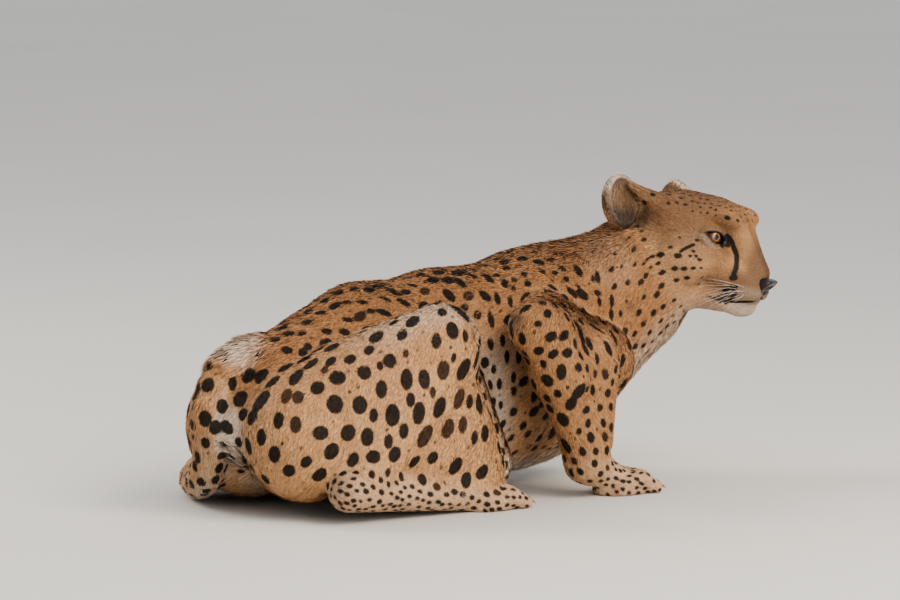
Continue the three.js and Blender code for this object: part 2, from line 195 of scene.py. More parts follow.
headMasses = [
    lobe((-142, 0, 42), (72, 59, 54)),  # braincase
    lobe((-102, 0, 56), (40, 43, 37)),  # forehead
    *both(lambda s: lobe((-79, s * 29, 69), (25, 18, 16), (0, 0, s * 18))),  # brows
    bar((-204, -57, 85), (-160, -40, 66), 8, 22),  # front root of the right ear
    bar((-168, 56, 78), (-130, 38, 62), 8, 22),  # front root of the left ear
    *both(lambda s: bar((-80, s * 34, 20), (-130, s * 43, 10), 18, 27)),  # cheekbones
    *both(lambda s: lobe((-126, s * 42, 0), (42, 26, 34), (0, 0, s * 8))),  # cheeks
    *both(lambda s: lobe((-152, s * 40, -24), (38, 28, 32))),  # ruff under the cheek
    bar((-80, 0, 6), (-42, 0, -8), 32, 23),  # muzzle
    *both(lambda s: bar((-76, s * 20, 0), (-46, s * 13, -12), 20, 15)),  # sides of the muzzle
    *both(lambda s: bar((-70, s * 13, 56), (-31, s * 6, 7), 18, 11)),  # bridge of the nose
    *both(lambda s: lobe((-39, s * 14, -19), (21, 17, 16))),  # whisker pads
    lobe((-44, 0, -43), (17, 15, 11)),  # chin
    *both(lambda s: bar((-50, s * 10, -41), (-132, s * 34, -34), 12, 24)),  # lower jaw
    bar((-165, 0, 4), (-196, 10, -10), 57, 60),  # root of the neck
]
eyeHollows = both(lambda s: lobe((-70, s * 51, 42), (24, 17, 13), (0, 0, s * 34)))
ears = {
    "earRight": {"side": -1, "seat": (-213, -64, 64), "turn": 30, "lean": 12, "tip": 12},
    "earLeft": {"side": 1, "seat": (-181, 64, 61), "turn": 66, "lean": 23, "tip": 2},
}
earCup = {
    "radii": (20, 27, 36),  # half depth, half width, half height
    "wall": 5.5,
    "coat": 0.8,
    "facing": (1, 0, 0.12),
    "forward": 10,
    "deeper": 4.6,
    "rimMelt": 2.0,
    "pale": 0.02,
    "paleOuter": 0.16,
    # Painted shade inside the cup, darker towards its foot:
    "dusk": 0.6,
    "lowerCupShade": 0.38,
}


def earAxes(ear):
    return turned(ear["side"] * -ear["lean"], -ear["tip"], ear["side"] * ear["turn"])


def add(a, b):
    return tuple(x + y for x, y in zip(a, b))


def between(a, b, t):
    return tuple(x + (y - x) * t for x, y in zip(a, b))


toes = {
    "fore": {"reach": 58, "spread": 7, "width": 20, "rise": 14},
    "hind": {"reach": 60, "spread": 5, "width": 18, "rise": 12},
}
toePlaces = [(i - 1.5) / 1.5 for i in range(4)]
toeShape = {"arc": 0.12, "knuckle": 0.45, "end": 0.86, "endHeight": 8}


def toeReach(k, reach):
    return reach * (1 - toeShape["arc"] * k * k)  # the outer toes are shorter


def toeEnds(pad, size):
    reach, spread = size["reach"], size["width"] + size["spread"]
    end, height = toeShape["end"], toeShape["endHeight"]
    return [add(pad, (toeReach(k, reach) * end, k * spread, height)) for k in toePlaces]


def toeMasses(pad, size):
    width, rise = size["width"], size["rise"]
    made = []
    for k, end in zip(toePlaces, toeEnds(pad, size)):
        root = add(pad, (-8, k * width * 0.8, rise - 2))
        ahead = toeReach(k, size["reach"]) * toeShape["knuckle"]
        knuckle = add(pad, (ahead, k * (width + size["spread"] * 0.5), rise + 5))
        made += [bar(root, knuckle, 15, 13.5), bar(knuckle, end, 13, 11)]
    return made


legs = {
    "foreRight": {
        "side": -1,
        "top": (222, -78, 160),
        "bend": (54, -170, 222),
        "ankle": (134, -168, 42),
        "pad": (184, -170, 0),
    },
    "foreLeft": {
        "side": 1,
        "top": (222, 78, 160),
        "bend": (66, 152, 192),
        "ankle": (150, 156, 42),
        "pad": (202, 160, 0),
    },
    "hindRight": {
        "side": -1,
        "top": (-252, -70, 118),
        "bend": (-92, -154, 219),
        "ankle": (-206, -150, 46),
        "pad": (-32, -168, 0),
    },
    "hindLeft": {
        "side": 1,
        "top": (-232, 66, 108),
        "bend": (-56, 138, 158),
        "ankle": (-196, 142, 44),
        "pad": (-20, 156, 0),
    },
}


def foreMasses(leg):
    s, shoulder, elbow, wrist, pad = (leg[k] for k in ("side", "top", "bend", "ankle", "pad"))
    along = unit(vec(*elbow) - vec(*shoulder))
    mid = add(between(elbow, wrist, 0.35), (8, 0, 4))
    upper = [
        bar(shoulder, elbow, 60, 34),
        bar(add(shoulder, (-60, -s * 18, 60)), add(elbow, (-4, 0, 8)), 44, 26),  # triceps
    ]
    lower = [
        bar(add(elbow, (10, 0, -6)), mid, 36, 36),
        bar(mid, wrist, 35, 24),
        bar(add(wrist, (16, -s * 16, 128)), add(wrist, (16, 0, 33)), 46, 27),  # thick of the forearm
        bar(add(elbow, tuple(along * 12)), add(elbow, (-6, 0, 6)), 22, 24),  # point of the elbow
    ]
    foot = [
        bar(add(wrist, (-2, 0, 4)), add(pad, (0, 0, 18)), 24, 22),
        lobe(add(pad, (12, 0, 5)), (44, 32, 13)),  # sole
        *toeMasses(pad, toes["fore"]),
    ]
    return upper, lower, foot


def hindMasses(leg):
    hip, knee, hock, pad = (leg[k] for k in ("top", "bend", "ankle", "pad"))
    shankMid = between(knee, hock, 0.4)
    heel = add(hock, (-34, 0, -6))
    thigh = [
        bar(hip, knee, 77, 44),
        bar(add(hip, (10, 0, -30)), add(between(hip, knee, 0.75), (-10, 0, -72)), 70, 48),  # hamstrings
        bar(add(hip, (62, 0, 56)), add(knee, (-4, 0, 4)), 40, 34),  # front of the thigh
        bar(add(knee, (0, 2, -24)), (knee[0] + 58, knee[1] + 6, 52), 40, 44),  # skin pressed under the knee
        lobe((knee[0] - 14, knee[1] + 4, 84), (72, 38, 66)),  # calf folded against the thigh
    ]
    shank = [
        bar(add(knee, (6, 0, -8)), shankMid, 40, 44),
        bar(shankMid, hock, 42, 23),
        bar(add(shankMid, (-14, 0, -12)), add(hock, (-18, 0, 0)), 34, 18),
    ]
    foot = [
        bar(heel, add(pad, (-6, 0, 20)), 27, 22),
        bar(hock, heel, 28, 24),
        lobe(add(pad, (10, 0, 5)), (44, 29, 13)),  # sole
        *toeMasses(pad, toes["hind"]),
    ]
    return thigh, shank, foot


limbParts = ("Upper", "Lower", "Foot")
limbCoat = {  # for each part, how far its masses melt and the depth of its coat
    "fore": ((30, 5.0), (24, 3.6), (5, 2.2)),
    "hind": ((40, 5.5), (24, 4.0), (5, 2.2)),
}
limbGroups = {}
for name, leg in legs.items():
    made = foreMasses(leg) if name.startswith("fore") else hindMasses(leg)
    limbGroups[name] = [(k, masses, depth) for masses, (k, depth) in zip(made, limbCoat[name[:4]])]
tail = {
    "route": [
        (-214, 4, 176), (-262, 6, 196), (-312, 10, 175), (-332, 16, 134), (-318, 28, 90), (-302, 56, 48),
        (-270, 112, 25), (-226, 176, 22), (-150, 224, 19), (-60, 236, 17), (40, 232, 16), (130, 236, 15),
        (186, 246, 14),
    ],
    "joints": 41,
    "length": 690,
    "rootRadius": 27,
    "tipRadius": 15,
    "coat": 4.0,
}


def curveThrough(points, count):
    p = np.array(points, float)
    p = np.vstack([2 * p[0] - p[1], p, 2 * p[-1] - p[-2]])
    made = []
    for i in range(1, len(p) - 2):
        t = np.linspace(0, 1, 24, endpoint=False)[:, None]
        a, b, c, d = p[i - 1], p[i], p[i + 1], p[i + 2]
        square, cube = 2 * a - 5 * b + 4 * c - d, 3 * b - a - 3 * c + d
        made.append(0.5 * (2 * b + (c - a) * t + square * t**2 + cube * t**3))
    made = np.vstack([*made, p[-2:-1]])
    steps = np.concatenate([[0], np.cumsum(np.linalg.norm(np.diff(made, axis=0), axis=1))])
    even = np.linspace(0, steps[-1], count)
    return np.stack([np.interp(even, steps, made[:, k]) for k in range(3)], 1).astype(np.float32)


tailLine = curveThrough(tail["route"], tail["joints"])
tailRadii = np.linspace(tail["rootRadius"], tail["tipRadius"], tail["joints"])
tailMasses = [
    bar(tailLine[i], tailLine[i + 1], tailRadii[i], tailRadii[i + 1]) for i in range(tail["joints"] - 1)
]


# Each eye's own frame: X along the gaze, Y towards the inner corner, Z up over the lid.
def eyeFrame(s):
    gaze = unit(vec(eye["gaze"][0], s * eye["gaze"][1], eye["gaze"][2]))
    inward = unit(np.cross(gaze, vec(0, 0, 1)) * s)
    inward = inward if inward[1] * s < 0 else -inward
    up = unit(np.cross(gaze, inward))
    up = up if up[2] > 0 else -up
    cant = math.radians(eye["cantDegrees"])
    inner = inward * math.cos(cant) - up * math.sin(cant)
    over = up * math.cos(cant) + inward * math.sin(cant)
    centre = vec(eye["place"][0], s * eye["place"][1], eye["place"][2])
    return centre, np.stack([gaze, inner, over], 1)


def almond(q):
    halfWidth, halfHeight = eye["openingHalfWidth"], eye["openingHalfHeight"]
    radius = (halfWidth**2 + halfHeight**2) / (2 * halfHeight)
    rise = radius - halfHeight
    u, v = q[:, 1] - eye["openingShift"], q[:, 2]
    return np.maximum(np.hypot(u, v + rise), np.hypot(u, v - rise)) - radius


def lidsField(h):
    corner = eye["corner"]
    made = np.full(len(h), farOff, np.float32)
    for s in (-1, 1):
        centre, axes = eyeFrame(s)
        q = (h - centre) @ axes
        shell = np.abs(np.linalg.norm(q, axis=1) - eye["lidRadius"]) - eye["lidHalfThickness"]
        inCorner = np.hypot(q[:, 1] - corner["along"], (q[:, 2] + corner["down"]) * corner["flatness"])
        opening = softMin(almond(q), inCorner - corner["radius"], 3)
        opening = np.where(q[:, 0] > 0, opening, 20)
        shell = softMax(shell, -opening, 1.6)
        shell = softMax(shell, -(q[:, 0] + 2), 2)
        made = np.minimum(made, shell)
    return made


def eyeballs(h):
    right = np.linalg.norm(h - eyeFrame(-1)[0], axis=1)
    return np.minimum(right, np.linalg.norm(h - eyeFrame(1)[0], axis=1)) - eye["radius"] - eye["socketGap"]


mouth = {
    "line": ((-16, -28), (-28, -31), (-50, -36), (-66, -37), (-80, -35)),  # along X, height
    "centreRise": 5.0,
    "halfGap": 0.55,
    "depth": 4.0,
    "span": (-80, -8),
}
philtrum = {"halfWidth": 0.7, "depth": 2.5, "back": -42, "heights": (-32, -8)}


def mouthHeight(h):
    line = sorted(mouth["line"])
    underNose = mouth["centreRise"] * np.exp(-(h[:, 1] / 6) ** 2) * smooth01(h[:, 0], -44, -28)
    return np.interp(h[:, 0], [a for a, _ in line], [b for _, b in line]) + underNose


melts = {  # mm over which one mass runs into the next
    "trunk": 44, "head": 14, "eyeHollow": 8, "neck": 30, "ears": 7, "lids": 3.5, "lips": 1.6, "philtrum": 1.4,
    "socket": 0.4, "limb": 18, "limbToBody": 9, "tail": 3, "tailToBody": 16,
}
coatDepth = {"trunk": 6.0, "face": 1.3, "backOfHead": 3.2, "floor": 0.4}
headSpan = {"centre": (-110, 0, 20), "radius": 190}


def headField(h):
    d = melt(h, melts["head"], headMasses)
    for hollow, _, _ in eyeHollows:
        d = softMax(d, -hollow(h), melts["eyeHollow"])
    return d + coatDepth["face"] + coatDepth["backOfHead"] * smooth01(-h[:, 0], 40, 170)


def earField(h, ear):
    depth, width, height = earCup["radii"]
    wall, coat = earCup["wall"], earCup["coat"]
    q = (h - vec(*ear["seat"])) @ earAxes(ear)
    outer = lobe((0, 0, 0), (depth - coat, width - coat, height - coat))[0](q)
    shift = unit(vec(*earCup["facing"])) * (wall + earCup["forward"])
    inner = lobe(shift, (depth + earCup["deeper"], width - wall + coat, height - wall + coat))[0](q)
    return softMax(outer, -inner, earCup["rimMelt"])


def faceDetails(d, h):
    for ear in ears.values():
        d = softMin(d, earField(h, ear), melts["ears"])
    d = softMin(d, lidsField(h), melts["lids"])
    back, front = mouth["span"]
    groove = np.maximum(np.abs(h[:, 2] - mouthHeight(h)) - mouth["halfGap"], -(d + mouth["depth"]))
    groove = np.where((h[:, 0] > back) & (h[:, 0] < front) & (h[:, 2] < 0), groove, farOff)
    d = softMax(d, -groove, melts["lips"])
    low, high = philtrum["heights"]
    groove = np.maximum(np.abs(h[:, 1]) - philtrum["halfWidth"], -(d + philtrum["depth"]))
    groove = np.where((h[:, 0] > philtrum["back"]) & (h[:, 2] < high) & (h[:, 2] > low), groove, farOff)
    d = softMax(d, -groove, melts["philtrum"])
    return softMax(d, -eyeballs(h), melts["socket"])


def skinField(p):
    h = toHead(p)
    d = softMin(melt(p, melts["trunk"], trunkMasses) + coatDepth["trunk"], headField(h), melts["neck"])
    away = np.linalg.norm((h.min(0) + h.max(0)) / 2 - vec(*headSpan["centre"]))
    if away < headSpan["radius"] + np.linalg.norm(np.ptp(h, axis=0)) / 2:
        d = faceDetails(d, h)
    for groups in limbGroups.values():
        limb = np.full(len(p), farOff, np.float32)
        for k, masses, depth in groups:
            limb = softMin(limb, melt(p, k, masses) + depth, melts["limb"])
        d = softMin(d, limb, melts["limbToBody"])
    d = softMin(d, melt(p, melts["tail"], tailMasses) + tail["coat"], melts["tailToBody"])
    return np.maximum(d, coatDepth["floor"] - p[:, 2])


# The skin is one closed surface round all the masses, finer on the face and feet.
grain = {
    "body": 4.4,
    "face": 1.4,
    "feet": 2.4,
    "border": 9.0,
    "merge": 0.014,
    "reach": 7.0,  # mm from the surface over which distances are kept
    "block": 22,  # steps in a block that is skipped when it lies well off the surface
    "steepness": 1.25,
    "spare": 22,
}


def spacedAxis(start, end, bands):
    values = [start]
    while values[-1] < end:
        steps = [step for low, high, step in bands if low <= values[-1] < high]
        values.append(values[-1] + min(steps, default=grain["body"]))
    return np.array(values, np.float32)


low = vec(*(cadBox[0] * 1000)) - bodyShift - grain["border"]
high = vec(*(cadBox[1] * 1000)) - bodyShift + grain["border"]
face, feet = grain["face"], grain["feet"]
elbows = feet * 1.4
axisX = spacedAxis(low[0], high[0], [(318, 470, face), (262, 318, feet), (200, 262, feet), (-20, 60, elbows)])
axisY = spacedAxis(low[1], high[1], [(-205, -60, face), (-60, 30, feet), (125, 195, feet)])
axisZ = spacedAxis(-6, high[2], [(-6, 44, feet), (205, 345, face), (345, 410, feet)])


def surfaceOf(field, axes, merge):
    block, reach = grain["block"], grain["reach"]
    starts = [range(0, len(axis), block) for axis in axes]
    values = np.full([len(axis) for axis in axes], reach, np.float32)
    for i, j, k in itertools.product(*starts):
        here = (slice(i, i + block), slice(j, j + block), slice(k, k + block))
        x, y, z = (axis[part] for axis, part in zip(axes, here))
        corner = np.array([[x[0], y[0], z[0]], [x[-1], y[-1], z[-1]]])
        half = np.linalg.norm(corner[1] - corner[0]) / 2
        guess = float(field(corner.mean(0, keepdims=True).astype(np.float32))[0])
        if abs(guess) > half * grain["steepness"] + grain["spare"]:
            values[here] = math.copysign(reach, guess)
            continue
        points = np.stack(np.meshgrid(x, y, z, indexing="ij"), -1).reshape(-1, 3)
        values[here] = np.clip(field(points).reshape(len(x), len(y), len(z)), -reach, reach)
    volume = openvdb.FloatGrid(reach)
    volume.copyFromArray(values)
    points, triangles, quads = volume.convertToPolygons(0.0, merge)
    points = np.stack([np.interp(points[:, n], np.arange(len(a)), a) for n, a in enumerate(axes)], 1)
    faces = np.concatenate([triangles, quads[:, [0, 1, 2]], quads[:, [0, 2, 3]]]).astype(np.int64)
    a, b, c = (points[faces[:, n]] for n in range(3))
    if float(((a + b + c) * np.cross(b - a, c - a)).sum()) < 0:
        faces = faces[:, ::-1]
    return points.astype(np.float32), np.ascontiguousarray(faces)


def largestPart(points, faces):
    label = np.arange(len(points))
    joined = False
    while not joined:
        lowestLabel = label[faces].min(1)
        spread = label.copy()
        for corner in faces.T:
            np.minimum.at(spread, corner, lowestLabel)
        spread = spread[spread]
        joined = (spread == label).all()
        label = spread
    names, counts = np.unique(label[faces[:, 0]], return_counts=True)
    faces = faces[label[faces[:, 0]] == names[counts.argmax()]]
    used, inverse = np.unique(faces, return_inverse=True)
    return points[used], inverse.reshape(faces.shape)


def pointNormals(points, faces):
    a, b, c = (points[corner] for corner in faces.T)
    n = np.cross(b - a, c - a)
    total = [sum(np.bincount(corner, n[:, k], len(points)) for corner in faces.T) for k in range(3)]
    return unit(np.stack(total, 1)).astype(np.float32)


skinPoints, skinFaces = largestPart(*surfaceOf(skinField, (axisX, axisY, axisZ), grain["merge"]))
skinNormals = pointNormals(skinPoints, skinFaces)
print("skin surface", len(skinPoints), "points,", len(skinFaces), "triangles")


def makeMesh(name, points, faces):
    mesh = bpy.data.meshes.new(name)
    mesh.vertices.add(len(points))
    mesh.vertices.foreach_set("co", np.ascontiguousarray(points, np.float32).ravel())
    sides = faces.shape[1]
    mesh.loops.add(faces.size)
    mesh.loops.foreach_set("vertex_index", np.ascontiguousarray(faces, np.int32).ravel())
    mesh.polygons.add(len(faces))
    mesh.polygons.foreach_set("loop_start", np.arange(0, faces.size, sides, dtype=np.int32))
    mesh.update(calc_edges=True)
    mesh.polygons.foreach_set("use_smooth", np.full(len(faces), True))
    made = bpy.data.objects.new(name, mesh)
    bpy.context.scene.collection.objects.link(made)
    return made


def setPointData(piece, name, values):
    values = np.ascontiguousarray(values, np.float32)
    kind = "FLOAT" if values.ndim == 1 else "FLOAT_VECTOR"
    made = piece.data.attributes.new(name, kind, "POINT")
    made.data.foreach_set("value" if values.ndim == 1 else "vector", values.ravel())


# Camera: a long lens, a little above the back, on the animal's right. Distances in mm.
lens = {"azimuth": -40, "elevation": 7, "right": 39, "height": 246, "distance": 10000, "frameWidth": 1152}
azimuth, elevation = math.radians(lens["azimuth"]), math.radians(lens["elevation"])
towardsCamera = vec(
    math.sin(azimuth) * math.cos(elevation), -math.cos(azimuth) * math.cos(elevation), math.sin(elevation)
)
cameraRight = vec(math.cos(azimuth), math.sin(azimuth), 0)
cameraUp = np.cross(towardsCamera, cameraRight)
aim = cameraRight * lens["right"] + cameraUp * lens["height"]
cameraPlace = aim + towardsCamera * lens["distance"]
imageWidth, imageHeight = 900, 600
perPixel = lens["frameWidth"] / imageWidth
seen = {"offRay": 3.5, "spare": 1.5, "depth": 9}  # mm: how near a point of skin is to a line of sight


def seenAt(x, y):
    target = aim + cameraRight * (x - imageWidth / 2) * perPixel - cameraUp * (y - imageHeight / 2) * perPixel
    ray = unit(target - cameraPlace)
    along = (skinPoints - cameraPlace) @ ray
    off = np.linalg.norm(skinPoints - cameraPlace - along[:, None] * ray, axis=1)
    near = off < max(seen["offRay"], float(off.min()) + seen["spare"])
    near &= along < along[near].min() + seen["depth"]  # the side of the body that faces the lens
    return skinPoints[near][off[near].argmin()]


# What each place of the body carries: its parts, the lie, length and thickness of the hair.
headSkin = toHead(skinPoints)
near = {
    "trunk": melt(skinPoints, melts["trunk"], trunkMasses),
    "head": melt(headSkin, melts["head"], headMasses),
}
for name, groups in limbGroups.items():
    for part, (k, masses, _) in zip(limbParts, groups):
        near[name + part] = melt(skinPoints, k, masses)
near["tail"] = melt(skinPoints, melts["tail"], tailMasses)
for name, ear in ears.items():
    near[name] = earField(headSkin, ear) - 6
parts = list(near)
share = np.stack([np.exp(-np.clip(near[name] + 5, -8, 60) / 4.5) for name in parts], 1)
share /= share.sum(1, keepdims=True)
share = dict(zip(parts, share.T))


def shareOf(*names):
    return sum(share[n] for n in parts if any(n.startswith(name) for name in names))


headNormals = skinNormals @ headTurn
spineLine = curveThrough(
    [(-300, 0, 172), (-120, 0, 200), (60, 0, 200), (185, 0, 210), (262, -8, 232), (318, -20, 270)], 60
)


def nearestOn(line, p):
    best = np.full(len(p), 1e9, np.float32)
    index = np.zeros(len(p), np.int64)
    for i, q in enumerate(line):
        d = ((p - q) ** 2).sum(1)
        closer = d < best
        best[closer], index[closer] = d[closer], i
    return index, np.sqrt(best)


spineIndex, _ = nearestOn(spineLine, skinPoints)
tailIndex, _ = nearestOn(tailLine, skinPoints)
spineRun = -unit(np.gradient(spineLine, axis=0))[spineIndex]
tailRun = unit(np.gradient(tailLine, axis=0))[tailIndex]

lie = {
    "flankDroop": 0.55,
    "hindUpper": (-0.55, 0, -0.83),
    "foreUpper": (-0.62, 0, -0.6),
    "overToes": (60, 0, -10),
}


def legLie(name, part):
    leg = legs[name]
    if part == "Upper":
        return unit(vec(*lie[name[:4] + part]))
    if part == "Lower":
        return unit(vec(*leg["ankle"]) - vec(*leg["bend"]))
    return unit(vec(*leg["pad"]) + vec(*lie["overToes"]) - vec(*leg["ankle"]))


flow = spineRun * share["trunk"][:, None]
flow[:, 2] -= lie["flankDroop"] * share["trunk"] * np.abs(skinNormals[:, 1])
flow += tailRun * share["tail"][:, None]
outwards = np.sign(headSkin[:, 1]) * smooth01(-headSkin[:, 0], 30, 110)
headRun = np.stack([
    -np.ones(len(skinPoints)), 0.25 * outwards, 0.25 - 0.75 * smooth01(-headSkin[:, 2], -60, 30)
], 1)
flow += (headRun @ headTurn.T) * share["head"][:, None]
for name, ear in ears.items():
    flow += headTurn @ earAxes(ear)[:, 2] * share[name][:, None]
for name, part in itertools.product(limbGroups, limbParts):
    flow += legLie(name, part) * share[name + part][:, None]
flow = unit(flow - dot(flow, skinNormals)[:, None] * skinNormals)

# Places that set the coat apart, 0 to 1.
earShare = shareOf("ear")
innerEar = np.zeros(len(skinPoints), np.float32)
earBright = np.zeros(len(skinPoints), np.float32)  # grey-white hair of the outer half of the cup
earRimHighlight = np.zeros(len(skinPoints), np.float32)  # painted highlight: pale edge of the ear's upper half, lit from above
for name, ear in ears.items():
    axes = earAxes(ear)
    q = headSkin - vec(*ear["seat"])
    within = (np.linalg.norm(q, axis=1) < earCup["radii"][2] + 2) & (near[name] < 1)
    innerEar = np.maximum(innerEar, within * smooth01(headNormals @ axes[:, 0], 0.1, 0.5))
    outer, over = q @ axes[:, 1] * ear["side"], q @ axes[:, 2]
    earBright = np.maximum(earBright, within * smooth01(outer + 0.5 * over, -10, 14))
    onRim = smooth01(np.linalg.norm(q @ axes[:, 1:] / vec(*earCup["radii"][1:]), axis=1), 0.8, 0.92)
    earRimHighlight = np.maximum(earRimHighlight, within * onRim * smooth01(over, 4, 22))
height = skinPoints[:, 2]
up = skinNormals[:, 2]
h = headSkin
rootOfTail = {"at": (-272, 14, 196), "radius": 56, "highlightRadius": 46}
fromTailRoot = np.linalg.norm(skinPoints - vec(*rootOfTail["at"]), axis=1)
nape = share["trunk"] * smooth01(skinPoints[:, 0], 150, 250) * smooth01(up, 0.45, 0.85)
nape = nape + smooth01(-h[:, 0], 165, 200) * share["head"] * smooth01(up, 0.3, 0.8) * 0.6
backTop = share["trunk"] * smooth01(up, 0.5, 0.95) * (1 - nape)
tailRoot = smooth01(rootOfTail["radius"] - fromTailRoot, 0, 20)
belly = (share["trunk"] + 0.6 * shareOf("hindRightUpper", "hindLeftUpper")) * smooth01(-up, 0.1, 0.7)
muzzle = share["head"] * smooth01(h[:, 0], -75, -38)
face = share["head"] * smooth01(h[:, 0], -150, -90)
throat = (share["trunk"] + share["head"]) * smooth01(skinPoints[:, 0], 200, 250) * smooth01(-up, 0.0, 0.6)
throat *= smooth01(235 - height, 0, 25)
foot = shareOf("foreRightFoot", "foreLeftFoot", "hindRightFoot", "hindLeftFoot")
lower = shareOf("foreRightLower", "foreLeftLower", "hindRightLower", "hindLeftLower")
upper = shareOf("foreRightUpper", "foreLeftUpper", "hindRightUpper", "hindLeftUpper")
thigh = shareOf("hindRightUpper", "hindLeftUpper")
foreleg = shareOf("foreRight", "foreLeft") - shareOf("foreRightFoot", "foreLeftFoot")

hair = {  # mm, and degrees for the lift
    "length": {"trunk": 9.5, "head": 6.5, "Upper": 8.5, "Lower": 7.5, "Foot": 4.5, "tail": 11, "ear": 5},
    "face": 3.6,
    "muzzle": 2.3,
    "innerEar": 6.5,
    "longer": {"nape": 9.5, "tailRoot": 12, "belly": 6, "backTop": 3},
    "lift": 9,
    "spacing": 1.7,
    "faceSpacing": 1.05,
    "behindFace": 0.25,
    "widthPerLength": 0.06,
    "widthPerSpacing": 0.42,
    "seed": 11,
}


def partOf(name):
    return next(k for k in ("trunk", "head", "Upper", "Lower", "Foot", "tail", "ear") if k in name)


length = sum(share[name] * hair["length"][partOf(name)] for name in parts)
length = length * (1 - face) + hair["face"] * face
length = length * (1 - muzzle) + hair["muzzle"] * muzzle
longer = hair["longer"]
length = length + longer["nape"] * nape + longer["tailRoot"] * tailRoot
length = length + longer["belly"] * belly + longer["backTop"] * backTop
length = np.where(innerEar > 0.5, hair["innerEar"], length)
lift = hair["lift"] + 17 * nape + 14 * tailRoot + 6 * backTop + 8 * belly + 10 * innerEar - 4 * face
fine = np.clip(share["head"] + foot + earShare, 0, 1)
spacing = hair["spacing"] * (1 - fine) + hair["faceSpacing"] * fine
spacing = spacing + hair["behindFace"] * fine * (1 - np.maximum(face, foot))
width = hair["widthPerSpacing"] * spacing + hair["widthPerLength"] * length

# Bare places: lids, lips, soles, eye sockets.
eyeGap = eyeballs(h)
bare = smooth01(9.0 - eyeGap, 0, 1.6)
underEye, overEye = 0, 0
for s in (-1, 1):
    centre, axes = eyeFrame(s)
    q = (h - centre) @ axes
    gap = almond(q)
    fromEye = np.linalg.norm(q, axis=1)
    rim = smooth01(3.0 - gap, 0, 1.2) * (q[:, 0] > 0) * (fromEye < 26)
    innerCorner = smooth01(6.5 - np.hypot(q[:, 1] - 16.5, (q[:, 2] + 1.5) * 0.8), 0, 1.5) * (q[:, 0] > -4)
    rim = np.maximum(rim, innerCorner)
    bare = np.where(fromEye < 30, np.minimum(bare, np.maximum(rim, eyeGap < 0.8)), bare)
    ring = smooth01(gap, 3.0, 4.2) * smooth01(9.0 - gap, 0, 2.5) * (q[:, 0] > -12) * (gap < 14)
    underEye = np.maximum(underEye, ring * smooth01(-q[:, 2], 1, 6) * smooth01(13 - q[:, 1], 0, 8))
    overEye = np.maximum(overEye, ring * smooth01(q[:, 2], 4, 9) * smooth01(q[:, 1], -4, 6))
lipGap = np.abs(h[:, 2] - mouthHeight(h))
lips = smooth01(2.0 - lipGap, 0, 1.0) * (h[:, 0] > -84) * (h[:, 0] < -8) * (near["head"] < 4) * (h[:, 2] < 0)
sole = smooth01(2.5 - height, 0, 1.0) * foot * smooth01(-up, 0.3, 0.8)
noseBed = {"centre": (-18, 0, -9), "radii": (14, 16, 12)}
fromNose = np.linalg.norm((h - vec(*noseBed["centre"])) / vec(*noseBed["radii"]), axis=1)
bare = np.clip(np.maximum.reduce([bare, lips, sole, smooth01(1.12 - fromNose, 0, 0.08)]), 0, 1)
hidden = (eyeGap < 0.9) | (height < 1.2)

# Colour zones: how much of each tint a place takes, 0 to 1; some of them are painted highlight and painted
# shade.
inner = np.clip(-skinNormals[:, 1] * np.sign(skinPoints[:, 1]), 0, 1)
limb = np.clip(upper + lower + foot, 0, 1)
chin = smooth01(-h[:, 2], 30, 40) * smooth01(h[:, 0], -74, -50)
# Painted highlight: paler hair on the top and front of the knee, where the light falls on it.
kneeRimHighlight = thigh * smooth01(skinPoints[:, 0], -230, -130) * smooth01(height, 150, 200)
kneeRimHighlight *= np.clip(smooth01(up, 0.35, 0.9) + smooth01(skinNormals[:, 0], 0.3, 0.8), 0, 1)
# Painted highlight: a pale patch on top of the tail's root, where its longer fur is lit from above.
rumpHighlight = smooth01(rootOfTail["highlightRadius"] - fromTailRoot, 0, 16) * (share["tail"] + 0.5 * share["trunk"])


def headPatch(x, y, radius, edge):
    place = toHead(seenAt(x, y)[None])[0]
    return smooth01(radius - np.linalg.norm(np.abs(h) - np.abs(place), axis=1), 0, edge)


def strongest(amounts, places):
    return np.maximum.reduce([amounts[name] * places[name] for name in amounts])


paleAmounts = {
    "belly": 0.85, "innerLimb": 0.8, "foot": 0.25, "throat": 0.45, "rump": 0.72, "tailTip": 1,
    "underTail": 0.5, "earCup": 1, "earRimHighlight": 0.75, "chin": 0.55, "whiskerPad": 0.2, "jaw": 0.25,
    "underEye": 0.32, "overEye": 0.12, "kneeRimHighlight": 0.42, "flank": 0.85, "neckSide": 0.1,
}
pale = strongest(paleAmounts, {
    "belly": share["trunk"] * smooth01(-up, 0.5, 0.9) * smooth01(110 - height, 0, 60),
    "innerLimb": limb * smooth01(inner, 0.35, 0.9),
    "foot": foot,
    "throat": throat,
    # painted highlight on top of the tail's root
    "rump": rumpHighlight,
    "tailTip": share["tail"] * smooth01(tailIndex, 36, 38),
    "underTail": share["tail"] * smooth01(-up, 0.2, 0.9),
    "earCup": innerEar * (earCup["pale"] + earCup["paleOuter"] * earBright),
    # painted highlight along the upper rim of the ear
    "earRimHighlight": earRimHighlight,
    "chin": share["head"] * chin,
    "whiskerPad": share["head"] * smooth01(-h[:, 2], 8, 18) * smooth01(h[:, 0], -56, -44),
    "jaw": share["head"] * smooth01(-h[:, 2], 28, 60),
    "underEye": share["head"] * underEye,
    "overEye": share["head"] * overEye,
    # the knee's top and front: painted highlight
    "kneeRimHighlight": kneeRimHighlight,
    # Painted light: the lower flank behind the foreleg is paled so that the shaded hollow between thigh and
    # foreleg looks lit.
    "flank": share["trunk"] * smooth01(0.45 - up, 0, 0.5) * smooth01(110 - skinPoints[:, 0], 0, 60),
    "neckSide": headPatch(614, 262, 46, 26),  # greyer ground behind the cheek
})
